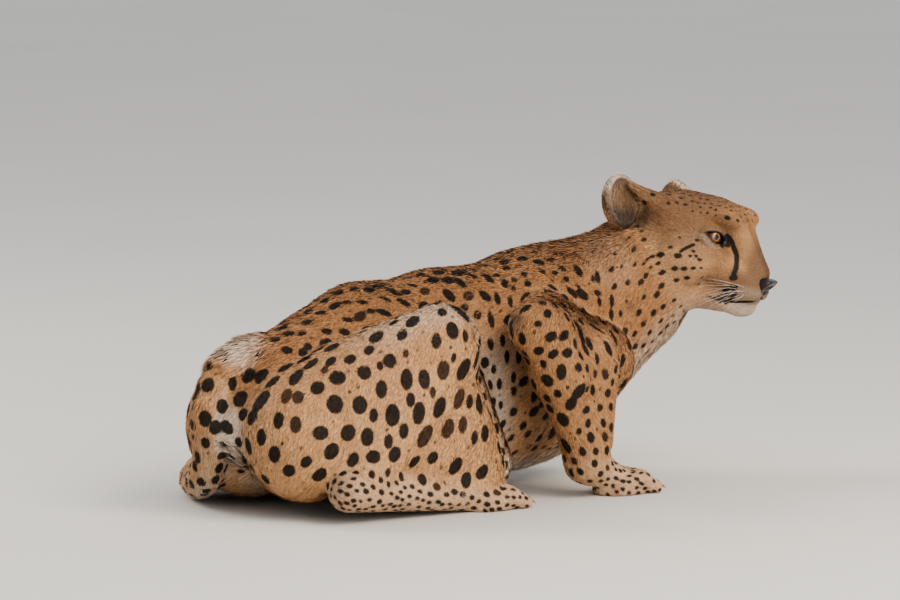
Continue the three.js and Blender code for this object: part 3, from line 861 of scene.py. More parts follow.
bridge = share["head"] * smooth01(15 - np.abs(h[:, 1]), 0, 10) * smooth01(h[:, 0], -84, -50)
ochreAmounts = {
    "back": 1, "shoulder": 1, "crown": 0.75, "bridge": 1, "face": 0.6, "foreleg": 0.75, "thigh": 0.28,
    "tail": 0.5,
}
ochre = strongest(ochreAmounts, {
    "back": share["trunk"] * smooth01(up, -0.1, 0.75),
    "shoulder": share["trunk"] * smooth01(skinPoints[:, 0], 60, 160) * smooth01(height, 90, 200),
    "crown": share["head"] * smooth01(h[:, 2], 10, 70),
    "bridge": bridge * smooth01(h[:, 2], -2, 8),
    "face": share["head"] * smooth01(h[:, 0], -120, -50),
    "foreleg": foreleg,
    "thigh": thigh,
    "tail": share["tail"],
})
elbowCreaseShade = {"at": (518, 318), "radius": 14}  # painted shade in the crease behind the right elbow
fromElbowCreaseShade = np.linalg.norm(skinPoints - seenAt(*elbowCreaseShade["at"]), axis=1)
# Painted shade: a dark band where the fold of skin behind the ruff of the cheek lies; the fold has no shape
# of its own.
neckFoldShade = {"route": ((628, 232), (631.5, 256), (633, 280), (634, 304)), "width": 7.2}
foldShadeRun = curveThrough([seenAt(x, y) for x, y in neckFoldShade["route"]], 40)
templeSpan = vec(44, 40, 30)
fromTemple = np.min([np.linalg.norm((h - vec(-104, s * 48, 46)) / templeSpan, axis=1) for s in (-1, 1)], 0)
earBack = earShare * (1 - innerEar) * smooth01(h[:, 2], 44, 56) * smooth01(96 - h[:, 2], 0, 10)
# Darker hair: the nape and the ear backs are the coat's own; the ear's cup, the foot of the ear, the fold
# behind the cheek and the crease behind the elbow are painted shade.
duskAmounts = {
    "crown": 0.5, "temple": 0.4, "cheek": 0.3, "noseRoot": 0.6, "jaw": 0.5, "muzzle": 0.6, "elbowCreaseShade": 0.6,
    "neckFoldShade": 0.55, "earBack": 0.7, "earCup": 1, "earNotch": 0.8, "nape": 0.3,
}
dusk = strongest(duskAmounts, {
    "crown": share["head"] * smooth01(h[:, 2], -10, 30) * smooth01(-h[:, 0], 60, 100),
    "temple": share["head"] * smooth01(1.5 - fromTemple, 0, 0.6),
    "cheek": share["head"] * smooth01(-h[:, 0], 70, 110),
    "noseRoot": share["head"] * smooth01(h[:, 0], -48, -34) * smooth01(h[:, 2] + 14, 0, 10),
    "jaw": share["head"] * smooth01(-h[:, 2], -16, 12) * smooth01(h[:, 0], -120, -70) * (1 - chin),
    "muzzle": share["head"] * smooth01(h[:, 0], -74, -52) * smooth01(14 - h[:, 2], 0, 16) * (1 - 0.7 * chin),
    # painted shade in the crease behind the right elbow
    "elbowCreaseShade": smooth01(elbowCreaseShade["radius"] - fromElbowCreaseShade, 0, 8),
    # painted shade of the fold behind the cheek
    "neckFoldShade": smooth01(neckFoldShade["width"] - nearestOn(foldShadeRun, skinPoints)[1], 0, neckFoldShade["width"]),
    "earBack": earBack * (1 - earRimHighlight),
    # painted shade inside the ear's cup, deeper low down
    "earCup": innerEar * (earCup["dusk"] + earCup["lowerCupShade"] * smooth01(66 - h[:, 2], 0, 20)),
    "earNotch": headPatch(645, 222, 16, 9),  # shadowed hair at the foot of the ear
    "nape": nape,
})
print("lie and length of the hair set")

# Markings: solid spots, rings on the tail, tear lines and face dots.
rng = np.random.default_rng(hair["seed"])
corners = skinPoints[skinFaces]
faceArea = np.linalg.norm(np.cross(corners[:, 1] - corners[:, 0], corners[:, 2] - corners[:, 0]), axis=1) / 2


def scatter(weight, count):
    total = np.cumsum(faceArea * weight[skinFaces].mean(1))
    picks = (np.arange(count) + rng.random(count)) / count * total[-1]
    chosen = np.minimum(np.searchsorted(total, picks), len(skinFaces) - 1)
    a, b = np.sqrt(rng.random(count)), rng.random(count)
    mix = np.stack([1 - a, a * (1 - b), a * b], 1).astype(np.float32)
    return chosen, mix


def at(values, chosen, mix):
    v = values[skinFaces[chosen]]
    return np.einsum("ij,ij->i", v, mix) if v.ndim == 2 else np.einsum("ijk,ij->ik", v, mix)


spots = {  # mm
    "size": {"trunk": 14.5, "head": 5, "Upper": 14, "Lower": 12, "Foot": 6.5, "tail": 14, "ear": 3},
    "thigh": 19,
    "innerThighLess": 6,
    "neckLess": 5.5,
    "bellyLess": 3.5,
    "faceSize": 4.0,
    "napeMore": 3,
    "gap": 1.24,  # centre to centre, in spot sizes
    "wider": {"thigh": 0.12, "foreleg": 0.2, "head": 0.8, "neck": 0.35},
    "stretch": 1.3,
    "fadedShare": 0.1,
    "smallSize": 4.5,
    "tries": 26000,
}
spotSize = sum(share[name] * spots["size"][partOf(name)] for name in parts)
onThigh = spots["thigh"] - spots["innerThighLess"] * smooth01(inner, 0.1, 0.6)
spotSize = spotSize * (1 - thigh) + thigh * onThigh
spotSize = spotSize - spots["neckLess"] * share["trunk"] * smooth01(skinPoints[:, 0], 120, 240)
spotSize = spotSize - spots["bellyLess"] * belly
onFace = spots["faceSize"] + spots["napeMore"] * smooth01(-h[:, 0], 120, 180)
spotSize = np.where(share["head"] > 0.4, onFace, spotSize)
wider = spots["wider"]
spotGap = spots["gap"] + wider["thigh"] * thigh + wider["foreleg"] * foreleg + wider["head"] * share["head"]
spotGap = spotGap + wider["neck"] * share["trunk"] * smooth01(skinPoints[:, 0], 200, 260)
noSpots = np.maximum.reduce([
    face * smooth01(60 - h[:, 2], 0, 14),
    share["head"] * smooth01(74 - h[:, 2], 0, 10) * smooth01(np.abs(h[:, 1]), 14, 26),  # temples
    muzzle,
    innerEar,
    bare > 0.5,
    share["head"] * smooth01(-h[:, 2], -30, 0),
    0.8 * (belly > 0.5) * smooth01(60 - height, 0, 20),
])
order, mix = scatter(1 / np.maximum(spotSize, 4) ** 2 * (1 - np.clip(noSpots, 0, 1)), spots["tries"])
shuffle = rng.permutation(len(order))
order, mix = order[shuffle], mix[shuffle]
candidate = at(skinPoints, order, mix)
candidateSize = at(spotSize, order, mix)
candidateGap = at(spotGap, order, mix)
candidateOff = at(noSpots, order, mix)
candidateNormal = unit(at(skinNormals, order, mix))


def settle(needs, taken):
    cell = 12.0
    chosen = []
    grid = {}
    for place, need in taken:
        grid.setdefault(tuple((place // cell).astype(int)), []).append((place, need))
    for n in np.flatnonzero(candidateOff <= 0.5):
        p, need = candidate[n], needs[n]
        key = tuple((p // cell).astype(int))
        span = math.ceil(need / cell)
        cells = itertools.product(*(range(i - span, i + span + 1) for i in key))
        others = (other for box in cells for other in grid.get(box, ()))
        if all(((p - q) ** 2).sum() >= ((need + room) / 2) ** 2 for q, room in others):
            chosen.append(n)
            grid.setdefault(key, []).append((p, need))
    return chosen


# Spots of the right side as the camera meets them: x, y, width and height, in pixels of the frame.
seenSpots = {
    "back": [
        (274, 359.5, 12.5, 6), (287.5, 352.5, 11.5, 7.5), (288, 337, 12.5, 6), (301, 354.5, 9, 9),
        (301.5, 333, 9, 5), (308.5, 348, 8.5, 7.5), (309.5, 324, 11.5, 6), (312.5, 363, 10, 11.5),
        (319, 348.5, 9, 7.5), (321, 314, 12.5, 5), (324, 331, 11, 6), (331, 359.5, 10, 8.5),
        (343.5, 332, 11, 6.5), (346.5, 301, 11, 4), (348.5, 321, 11.5, 5), (387, 285, 11, 5),
        (394, 294, 12.5, 6), (406.5, 279, 12.5, 4), (412, 286.5, 12.5, 4), (429, 292.5, 14, 6),
        (450.5, 293.5, 11, 10), (458.5, 278, 9, 4), (470, 276, 10, 5), (477.5, 282, 10, 6),
        (489, 281.5, 8.5, 6), (444.3, 271, 8, 3.5), (457.8, 284, 10, 6.5), (461.7, 271.5, 10.5, 5),
        (469.3, 286, 5, 4.5), (474.8, 270.5, 8.7, 3), (477, 264.5, 9.8, 3.5), (484.6, 266, 7, 5.5),
        (485.2, 276.5, 9.5, 5), (494.3, 270, 7, 3), (497.6, 261, 9.8, 4.5), (497.6, 275.9, 7.5, 4),
        (507.4, 270, 8.5, 6.5), (509, 256, 9, 4),
    ],
    "rump": [
        (197, 391.5, 6, 13.5), (203, 417.5, 12.5, 16), (209, 384.5, 12.5, 13.5), (215, 427, 12.5, 14),
        (222.5, 404, 11.5, 14), (229, 426, 11.5, 13.5), (231.5, 383.5, 8.5, 16), (239.5, 399, 13.5, 15),
        (243, 413.5, 8.5, 11.5), (249, 376.5, 13.5, 13.5), (252.5, 417.5, 11.5, 14), (260, 378.5, 11.5, 12.5),
        (260, 400.5, 12.5, 16),
    ],
    "thigh": [
        (280, 421, 10, 16), (284, 369.5, 10, 11.5), (296.5, 374.5, 11.5, 16), (314.5, 401, 11.5, 14),
        (322, 433.5, 15, 13.5), (335, 406, 16, 17.5), (337, 375.5, 16, 13.5), (348, 434, 14, 16),
        (350, 358, 11.5, 9), (358.5, 343.5, 7.5, 6.5), (359, 403, 14, 17.5), (360.5, 302.5, 13.5, 4),
        (363.5, 332.5, 6.5, 5), (364.5, 374, 13.5, 13.5), (368.5, 351, 10, 9), (369, 436, 12.5, 17.5),
        (370, 312, 9, 5), (373, 340.5, 6, 6), (373, 415, 8.5, 13.5), (374.5, 457, 14, 12.5),
        (379, 367.5, 6.5, 9), (381.5, 391, 11, 17.5), (383, 300.5, 10, 4), (384, 340, 11, 11.5),
        (385, 313, 14, 6), (388.5, 441.5, 8.5, 14), (390, 359, 12.5, 13.5), (392.5, 415.5, 14, 21),
        (393.5, 324, 6.5, 6.5), (395, 455.5, 11.5, 15), (401, 302.5, 11.5, 6), (401.5, 335, 10, 11),
        (403.5, 429.5, 9, 15), (405, 378.5, 11.5, 20), (409.5, 399.5, 8.5, 14), (416.5, 301, 12.5, 7.5),
        (419, 412, 11.5, 21.5), (421, 351, 11.5, 13.5), (424.5, 379, 11, 19), (434, 322, 9, 9),
        (436.5, 343, 10, 15), (439.5, 407, 11.5, 18.5), (442.5, 312.5, 9, 8.5), (452, 330.5, 11.5, 16.5),
        (454, 357.5, 5, 10), (459.5, 311.5, 9, 14), (464, 370, 11, 18.5), (465, 336.5, 5.5, 12.5),
        (468.5, 401.5, 6.5, 14), (473.5, 436, 6.5, 14), (474, 301, 10, 9), (476.5, 357.5, 6, 20),
        (477.5, 321, 6.5, 13.5),
    ],
    "flank": [
        (478.5, 403, 7.5, 19), (481, 342, 5, 9), (484, 296, 10, 9), (485, 434, 7.5, 16.5),
        (490, 345.5, 6, 12.5), (490, 385.5, 5, 10), (491, 320, 6, 17.5), (493, 368, 5, 10),
        (493, 412.5, 4.5, 11.5), (497.5, 298.5, 6, 12.5), (500, 369, 5, 12.5), (501, 341.5, 5, 13.5),
        (501, 383, 5, 11.5), (501, 405.5, 4.5, 9), (501, 449, 6, 12.5), (504, 461.5, 6, 11),
        (509, 356.5, 5, 14), (511, 330, 6, 18.5), (512, 392, 5, 10), (515, 410, 7.5, 8.5),
        (515.5, 380, 5, 11),
        (518.5, 358, 5.5, 15.5),
    ],
    "shoulder": [
        (503, 284, 7.5, 9), (510.5, 302, 5, 12.5), (513.5, 281, 7, 5.5), (523.5, 274, 7.5, 5.5),
        (525.5, 309, 9, 6), (526, 296.5, 6, 8.5), (527, 284, 7.5, 7), (539, 263.5, 11.5, 7.5),
        (542, 272, 7, 5.5), (542, 303.5, 7.5, 5.5), (553.5, 288, 7, 6), (556.5, 301, 7, 4.5),
        (560, 277.5, 10, 4.5), (564, 257.5, 8.5, 7.5), (571, 293.5, 8.5, 7.5), (571.5, 304, 7.5, 4.5),
        (575.5, 271.5, 8.5, 10), (577.5, 246, 8.5, 8.5), (584, 293, 11, 10), (514.3, 289.8, 5.2, 7.4),
        (520.9, 265.7, 7, 3.5), (534.6, 253.3, 8, 4), (553, 257.5, 8, 4), (563.5, 269, 8, 5.5),
        (566, 240.5, 5, 6.5), (552, 279.8, 3.5, 3), (590, 277.6, 4, 7), (543, 244.5, 7, 4),
        (523, 250.5, 8, 4), (589, 236, 7, 5), (586, 262, 6, 5), (576, 284, 5, 4),
    ],
    "neck": [
        (594.8, 254.7, 8, 5), (597.3, 278, 5, 13), (593.5, 293, 7.5, 6), (610.4, 300.3, 4.5, 13),
        (598.3, 304, 4.5, 9), (610.4, 313.7, 4.5, 13), (620, 315, 4, 8), (625, 299, 3.5, 5),
    ],
    "foreleg": [
        (521, 329, 8.5, 11.5), (533.5, 393.5, 6.5, 13.5), (537.5, 323.5, 8.5, 6), (548.5, 337, 11.5, 10),
        (548.5, 380, 11.5, 11.5), (552, 354, 10, 9), (553, 431, 7.5, 11.5), (562, 417.5, 11.5, 12.5),
        (564, 370.5, 10, 15.5), (565, 335, 11, 10),
        (567, 444, 7.5, 11), (569.5, 351.5, 10, 10), (571, 402.5, 11, 13), (577, 368, 7, 9),
        (577.5, 326.5, 9, 9), (578, 390.5, 11.5, 13), (578, 432.5, 5.5, 7), (581, 337.5, 7.5, 9),
        (584, 348.5, 6, 11), (586.5, 410, 7.5, 7.5), (587.5, 388, 5.5, 5.5), (587.5, 423.5, 5.5, 9),
        (589.5, 342.5, 5.5, 11.5), (596, 327.5, 11, 7), (597.5, 359, 4, 11.5), (600, 409, 5.5, 7.5),
        (605.5, 371, 4, 9), (607, 392.5, 6, 9), (608, 347.5, 5.5, 12.5), (612.5, 382.5, 4.5, 7.5),
        (613.5, 337.5, 5.5, 11), (615.5, 369, 5.5, 9), (619, 357.5, 3, 8.5),
    ],
    "faded": [
        (285.5, 396.5, 10, 14), (296, 425, 11, 16), (301, 395, 11.5, 12.5), (323.5, 371.5, 6.5, 7.5),
        (406, 353.5, 6.5, 8.5), (418, 325, 11.5, 11), (423, 436.5, 12.5, 19), (432.5, 392.5, 6, 11),
        (444, 371.5, 11.5, 18.5), (446, 427.5, 11.5, 18.5), (458, 398.5, 10, 18.5), (464, 424.5, 8.5, 16.5),
        (504, 284.5, 7.5, 6), (577, 257.5, 10, 5.5), (595, 373.5, 4.5, 8.5),
    ],
}

faceMarks = {  # as the camera meets the right side of the head, in pixels of the frame
    "tearLine": [
        (728, 236), (731.5, 241), (734.5, 248), (736.5, 255), (736.5, 262), (735.5, 268.5), (733.5, 275),
    ],
    "tearWidth": 7.2,
    "tearEnds": [(733.8, 278.5, 9), (727, 237.5, 10), (730, 241, 7), (721.5, 244, 6), (726.5, 244.5, 7)],
    "cheekDots": [  # x, y, size in mm
        (643.9, 263.4, 4), (649.5, 260.7, 4), (650.8, 255.5, 5), (649.3, 266.1, 4), (658, 264.4, 5),
        (661.8, 254.5, 9), (669.6, 246.6, 4.5), (679.8, 236.9, 3), (679.6, 257.6, 8.5), (697.2, 240.4, 4),
        (674, 269.8, 7.5), (682.3, 267.8, 6), (691.6, 266.7, 4.7), (693.5, 251.6, 3.5), (691.4, 256.6, 3.5),
        (697.4, 257.8, 3.5), (699.3, 261.1, 4), (701.4, 267.8, 3), (701.8, 276.9, 3), (698.5, 283.9, 3.5),
        (646, 274.4, 6), (659.9, 274.4, 8), (676, 279, 5.5), (686.4, 277.7, 5.5), (663.2, 286, 8),
        (657.2, 293.5, 8), (640, 281, 8), (645.4, 296.8, 5.5), (639.7, 311.7, 8.5), (644, 322.5, 7),
        (634, 264.5, 5), (620, 265.8, 4), (617.4, 246, 6), (626.7, 288.8, 6.5), (608.5, 269, 8),
        (599.9, 245.7, 8.5), (607.2, 231.4, 9), (598.3, 228.2, 6), (613.9, 285.3, 8),
        (727, 218, 6), (710, 228, 3.5), (720, 205.5, 3.5), (707, 200.5, 3.5), (686, 204, 4),
    ],
    "cheekStreaks": [[(680.5, 251.5), (686, 248.5), (692.5, 244.5)]],
    "lipStreaks": [
        [(736.5, 287), (726, 292), (714.5, 299)], [(733.5, 290.5), (726, 296.5), (719.5, 301.5)],
        [(736.5, 293.5), (731, 298.5), (725.5, 303.5)], [(732, 286.5), (724.5, 290.5)],
    ],
    "streakWidth": 4.8,
}


spotSlant = {"leastFacing": 0.5, "mostStretch": 1.45, "halfSize": 0.53}


def placeSpot(x, y, wide, tall, tone):
    p = seenAt(x, y)
    n = skinNormals[np.linalg.norm(skinPoints - p, axis=1).argmin()]
    axes = []
    for flat, size in ((cameraRight, wide), (cameraUp, tall)):  # undoes the slant of the view
        lean = flat - towardsCamera * (flat @ n) / max(float(n @ towardsCamera), spotSlant["leastFacing"])
        lean *= min(1.0, spotSlant["mostStretch"] / np.linalg.norm(lean))
        axes.append(lean * size * perPixel * spotSlant["halfSize"])
    return p, n, *axes, tone


spotList = []
taken = []
rooms = {"back": 1.1, "neck": 2.0}  # how far the scattered spots keep off, in spot sizes
for area, read in seenSpots.items():
    for x, y, wide, tall in read:
        spot = placeSpot(x, y, wide, tall, rng.uniform(*((0.5, 0.75) if area == "faded" else (0.95, 1.0))))
        if spot[0][1] < 40:  # none on the far legs
            size = np.linalg.norm(spot[2]) + np.linalg.norm(spot[3])
            spotList.append(spot)
            taken.append((spot[0], rooms.get(area, 1.35) * size))
taken += [(seenAt(x, y), 2.6 * size) for x, y, size in faceMarks["cheekDots"]]
big = settle(candidateSize * candidateGap, taken)
taken += [(candidate[n], candidateSize[n] * 1.25) for n in big]
little = settle(np.full(len(candidate), spots["smallSize"] * 1.9), taken)
little = [n for n in little if rng.random() < 0.5 and candidateSize[n] > 9]
print(len(big), "spots and", len(little), "small dots")


def addSpot(place, normal, run, size, stretch, tone):
    run = unit(run - normal * (run @ normal))
    across = np.cross(normal, run)
    longer = math.sqrt(stretch)
    spotList.append((place, normal, run * size / 2 * longer, across * size / 2 / longer, tone))


def flowAt(n):
    return at(flow, order[n:n + 1], mix[n:n + 1])[0]


for n in big:
    size = candidateSize[n] * rng.uniform(0.85, 1.15)
    tone = rng.uniform(0.55, 0.8) if rng.random() < spots["fadedShare"] else 1.0
    stretch = spots["stretch"] * rng.uniform(0.85, 1.15)
    addSpot(candidate[n], candidateNormal[n], flowAt(n), size, stretch, tone)
for n in little:
    size = spots["smallSize"] * rng.uniform(0.7, 1.2)
    addSpot(candidate[n], candidateNormal[n], flowAt(n), size, 1.2, rng.uniform(0.45, 0.9))


def mirrored(p):
    return fromHead(toHead(p[None]) * vec(1, -1, 1))[0]


for x, y, size in faceMarks["cheekDots"] + faceMarks["tearEnds"]:
    p = seenAt(x, y)
    onHead = toHead(p[None])[0, 0] > -165
    for place in (p, mirrored(p)) if onHead else (p,):
        nearest = np.linalg.norm(skinPoints - place, axis=1).argmin()
        addSpot(place, skinNormals[nearest], flow[nearest], size * (1.3 if size < 7.5 else 1.1), 1.5, 0.94)
bands = []
lines = [(faceMarks["tearLine"], faceMarks["tearWidth"])]
streaks = faceMarks["cheekStreaks"] + faceMarks["lipStreaks"]
lines += [(streak, faceMarks["streakWidth"]) for streak in streaks]
for line, wide in lines:
    run = np.array([seenAt(x, y) for x, y in line])
    run = curveThrough(run, 40) if len(run) > 2 else np.linspace(run[0], run[-1], 12)
    bands.append((run, wide / 2))
    bands.append((np.array([mirrored(p) for p in run]), wide / 2))

tailRings = {"from": 0.62, "count": 4, "width": 17, "tipBlack": 0.90, "overrun": 0.03, "steps": 300}
tailSteps = curveThrough(tail["route"], tailRings["steps"])


def markings(p, n):
    edge = np.full(len(p), -12, np.float32)
    tone = np.ones(len(p), np.float32)
    rank = np.argsort(p[:, 0], kind="stable")
    sortedX = p[rank, 0]
    for place, normal, axisA, axisB, dark in spotList:
        longA, longB = np.linalg.norm(axisA), np.linalg.norm(axisB)
        reach = max(longA, longB) * 1.1 + 4
        a, b = np.searchsorted(sortedX, (place[0] - reach, place[0] + reach))
        index = rank[a:b]
        q = p[index] - place
        index, q = index[np.abs(q[:, 1]) < reach], q[np.abs(q[:, 1]) < reach]
        keep = (np.abs(q[:, 2]) < reach) & (n[index] @ normal > 0.0)
        index, q = index[keep], q[keep]
        off = q @ normal
        index, q, off = (v[np.abs(off) < longA + 8] for v in (index, q, off))
        q = q - off[:, None] * normal
        middling = math.sqrt(longA * longB)
        bend = off / (1.2 * middling)  # a spot doesn't run on where the body turns away
        d = (1 - np.sqrt((q @ axisA / longA**2)**2 + (q @ axisB / longB**2)**2 + bend**2)) * middling
        better = d > edge[index]
        edge[index[better]] = d[better]
        tone[index[better]] = dark
    for run, half in bands:
        low, high = run.min(0) - 12, run.max(0) + 12
        index = np.flatnonzero(((p > low) & (p < high)).all(1))
        if len(index):
            _, away = nearestOn(run, p[index])
            d = half - away
            better = d > edge[index]
            edge[index[better]] = d[better]
            tone[index[better]] = 1
    line, away = nearestOn(tailSteps, p)
    step = line / (tailRings["steps"] - 1)
    period = (tailRings["tipBlack"] - tailRings["from"]) / tailRings["count"]
    phase = ((step - tailRings["from"]) / period) % 1
    ring = tailRings["width"] / 2 - np.abs(phase - 0.5) * period * tail["length"]
    ring = np.where(step > tailRings["tipBlack"] + tailRings["overrun"], -6, ring)
    better = (away < 40) & (step > tailRings["from"]) & (ring > edge)
    edge[better] = ring[better]
    tone[better] = 1
    return edge, tone


skinEdge, skinTone = markings(skinPoints, skinNormals)
print("markings placed")


# Colours are written as sRGB hex and made linear in one place.
def linear(hexColour):
    values = [int(hexColour[i:i + 2], 16) / 255 for i in (1, 3, 5)]
    return (*[v / 12.92 if v <= 0.04045 else ((v + 0.055) / 1.055) ** 2.4 for v in values], 1)


def addNode(tree, kind, settings=None, **links):
    node = tree.nodes.new(kind)
    for key, value in (settings or {}).items():
        setattr(node, key, value)
    for key, value in links.items():
        socket = node.inputs[int(key[1:])] if key[1:].isdigit() else node.inputs[key.replace("_", " ")]
        if isinstance(value, bpy.types.NodeSocket):
            tree.links.new(value, socket)
        else:
            socket.default_value = value
    return node


def newMaterial(name):
    made = bpy.data.materials.new(name)
    made.use_nodes = True
    tree = made.node_tree
    tree.nodes.clear()
    shader = tree.nodes.new("ShaderNodeBsdfPrincipled")
    output = tree.nodes.new("ShaderNodeOutputMaterial")
    tree.links.new(shader.outputs[0], output.inputs[0])
    return made, tree, shader


furColours = {
    "tan": "#d6a87c",
    "ochre": "#a87a52",
    # pale hair, also used for painted highlights on the knee, the tail's root and the ear rims, and painted
    # light on the flank
    "white": "#e2d6c6",
    # dark brown of the darker hair, also used for painted shade in hollows and folds
    "dusk": "#4b392f",
    "spot": "#0b0a0a",
    "fadedSpot": "#4a301e",
    "bare": "#120e0d",
    "edgeSoftness": 1.2,  # mm over which a spot's edge blends
    "edgeWobble": 0.9,  # mm of raggedness at a spot's edge
    "spotCover": 0.96,
}


colourMix = {"data_type": "RGBA"}
smoothStep = {"interpolation_type": "SMOOTHSTEP"}


def markedColour(tree, tipLight):
    marks, zones, hairs = (
        addNode(tree, "ShaderNodeAttribute", {"attribute_name": name}) for name in ("marks", "zones", "hairs")
    )
    mark, zone, hairAt = (
        addNode(tree, "ShaderNodeSeparateXYZ", i0=node.outputs["Vector"]) for node in (marks, zones, hairs)
    )
    place = addNode(tree, "ShaderNodeTexCoord").outputs["Object"]
    broad = addNode(tree, "ShaderNodeTexNoise", i0=place, Scale=28.0, Detail=3.0)
    small = addNode(tree, "ShaderNodeTexNoise", i0=place, Scale=420.0, Detail=2.0)
    shift = addNode(
        tree, "ShaderNodeMapRange", Value=broad.outputs[0],
        From_Min=0.3, From_Max=0.7, To_Min=-0.18, To_Max=0.18
    )
    adding = {"operation": "ADD", "use_clamp": True}
    warm = addNode(tree, "ShaderNodeMath", adding, i0=zone.outputs[1], i1=shift.outputs[0])
    ground = linear(furColours["tan"])
    for amount, tint in ((warm.outputs[0], "ochre"), (zone.outputs[2], "dusk"), (zone.outputs[0], "white")):
        layer = addNode(tree, "ShaderNodeMix", colourMix, i0=amount, i6=ground, i7=linear(furColours[tint]))
        ground = layer.outputs[2]
    wobble = addNode(
        tree, "ShaderNodeMapRange", Value=small.outputs[0], From_Min=0.25, From_Max=0.75,
        To_Min=-furColours["edgeWobble"], To_Max=furColours["edgeWobble"]
    )
    edge = addNode(tree, "ShaderNodeMath", {"operation": "ADD"}, i0=mark.outputs[0], i1=wobble.outputs[0])
    inside = addNode(
        tree, "ShaderNodeMapRange", smoothStep, Value=edge.outputs[0],
        From_Min=-furColours["edgeSoftness"], From_Max=furColours["edgeSoftness"]
    )
    dark = addNode(tree, "ShaderNodeMapRange", Value=mark.outputs[1], From_Min=0.45, From_Max=1.0)
    faded, black = linear(furColours["fadedSpot"]), linear(furColours["spot"])
    ink = addNode(tree, "ShaderNodeMix", colourMix, i0=dark.outputs[0], i6=faded, i7=black)
    covered = addNode(
        tree, "ShaderNodeMath", {"operation": "MULTIPLY"}, i0=inside.outputs[0], i1=furColours["spotCover"]
    )
    marked = addNode(tree, "ShaderNodeMix", colourMix, i0=covered.outputs[0], i6=ground, i7=ink.outputs[2])
    shade = addNode(tree, "ShaderNodeMapRange", Value=hairAt.outputs[1], To_Min=0.72, To_Max=1.24)
    # Painted shade: each blade is darker at its root and lighter towards its tip, as if shaded by the hair
    # around it.
    tip = addNode(tree, "ShaderNodeMapRange", Value=hairAt.outputs[0], To_Min=0.66, To_Max=tipLight)
    locks = addNode(
        tree, "ShaderNodeMapRange", Value=small.outputs[0],
        From_Min=0.3, From_Max=0.7, To_Min=0.84, To_Max=1.12
    )
    value = shade
    for part in (tip, locks):
        value = addNode(
            tree, "ShaderNodeMath", {"operation": "MULTIPLY"}, i0=value.outputs[0], i1=part.outputs[0]
        )
    lit = addNode(tree, "ShaderNodeHueSaturation", Value=value.outputs[0], Color=marked.outputs[2])
    return lit.outputs[0], mark.outputs[2], place


# Short cheetah fur, grown: coarse matt hair that takes a faint soft sheen along its back.
coatFur, tree, shader = newMaterial("shortCheetahFurGrown")
colour, _, place = markedColour(tree, 1.08)
tree.links.new(colour, shader.inputs["Base Color"])
strands = addNode(tree, "ShaderNodeTexNoise", i0=place, Scale=1100.0, Detail=2.0)  # about 1 mm apart
bump = addNode(tree, "ShaderNodeBump", Strength=0.55, Distance=0.0006, Height=strands.outputs[0])
tree.links.new(bump.outputs[0], shader.inputs["Normal"])
shader.inputs["Roughness"].default_value = 0.62
shader.inputs["Specular IOR Level"].default_value = 0.22
shader.inputs["IOR"].default_value = 1.55
shader.inputs["Sheen Weight"].default_value = 0.05
shader.inputs["Sheen Roughness"].default_value = 0.5

# Hide under the coat: the same markings on dull skin, bare and leathery at lids, lips and soles.
hide, tree, shader = newMaterial("hideUnderTheCoat")
colour, bareness, place = markedColour(tree, 1.0)
skinTint = addNode(tree, "ShaderNodeMix", colourMix, i0=bareness, i6=colour, i7=linear(furColours["bare"]))
tree.links.new(skinTint.outputs[2], shader.inputs["Base Color"])
rough = addNode(tree, "ShaderNodeMapRange", Value=bareness, To_Min=0.85, To_Max=0.42)
tree.links.new(rough.outputs[0], shader.inputs["Roughness"])
pores = addNode(tree, "ShaderNodeTexVoronoi", i0=place, Scale=900.0)  # skin grain about 1 mm
bump = addNode(tree, "ShaderNodeBump", Strength=0.35, Distance=0.0004, Height=pores.outputs[0])
tree.links.new(bump.outputs[0], shader.inputs["Normal"])

# The skin piece and its unwrap, which the blades of the coat share.
skin = makeMesh("skin", toMetres(skinPoints), skinFaces)
skin.data.materials.append(hide)
setPointData(skin, "marks", np.stack([skinEdge, skinTone, bare], 1))
setPointData(skin, "zones", np.stack([pale, ochre, dusk], 1))
# the skin takes a root-dark value: painted shade under the coat
setPointData(skin, "hairs", np.tile(vec(0.15, 0.5, 0), (len(skinPoints), 1)))
skin.data.uv_layers.new(name="OFBake")
bpy.context.view_layer.objects.active = skin
skin.select_set(True)
bpy.ops.object.mode_set(mode="EDIT")
bpy.ops.mesh.select_all(action="SELECT")
bpy.ops.uv.smart_project(angle_limit=math.radians(66), island_margin=0.001)
bpy.ops.object.mode_set(mode="OBJECT")
skin.select_set(False)
skinUv = np.zeros(len(skinFaces) * 6, np.float32)
skin.data.uv_layers["OFBake"].data.foreach_get("uv", skinUv)
skinUv = skinUv.reshape(-1, 3, 2)
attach(skin, "root")
flesh = [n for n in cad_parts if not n.startswith(("eye", "nose", "claw"))]
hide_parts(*flesh)
print("skin unwrapped")

# The coat: thin blades lying along the body, each with a root in the skin.
tuft = {
    "count": 460000,
    "quickCount": 90000,
    "perPiece": 62000,
    "earShare": 0.25,  # how many stand inside the ear, against elsewhere
    "wander": 9,  # degrees to either side of the lie
    "roll": 17,
    "liftVary": 4,
    "leastLift": 4,
    "tipDroop": 0.55,
    "longVary": (0.75, 1.2),
    "halfVary": (0.8, 1.15),
    "rootDepth": 0.7,
    "rootWidth": 0.8,
    "floor": 0.3,
    "patch": 0.003,  # size of its bit of the unwrap
}
tuftCount = tuft["count"]
density = (1 - np.clip(bare * 1.3, 0, 1)) * ~hidden / spacing**2 * (1 - (1 - tuft["earShare"]) * innerEar)
chosen, mix = scatter(density.astype(np.float32), tuftCount)
thicker = math.sqrt(tuft["count"] / tuftCount)


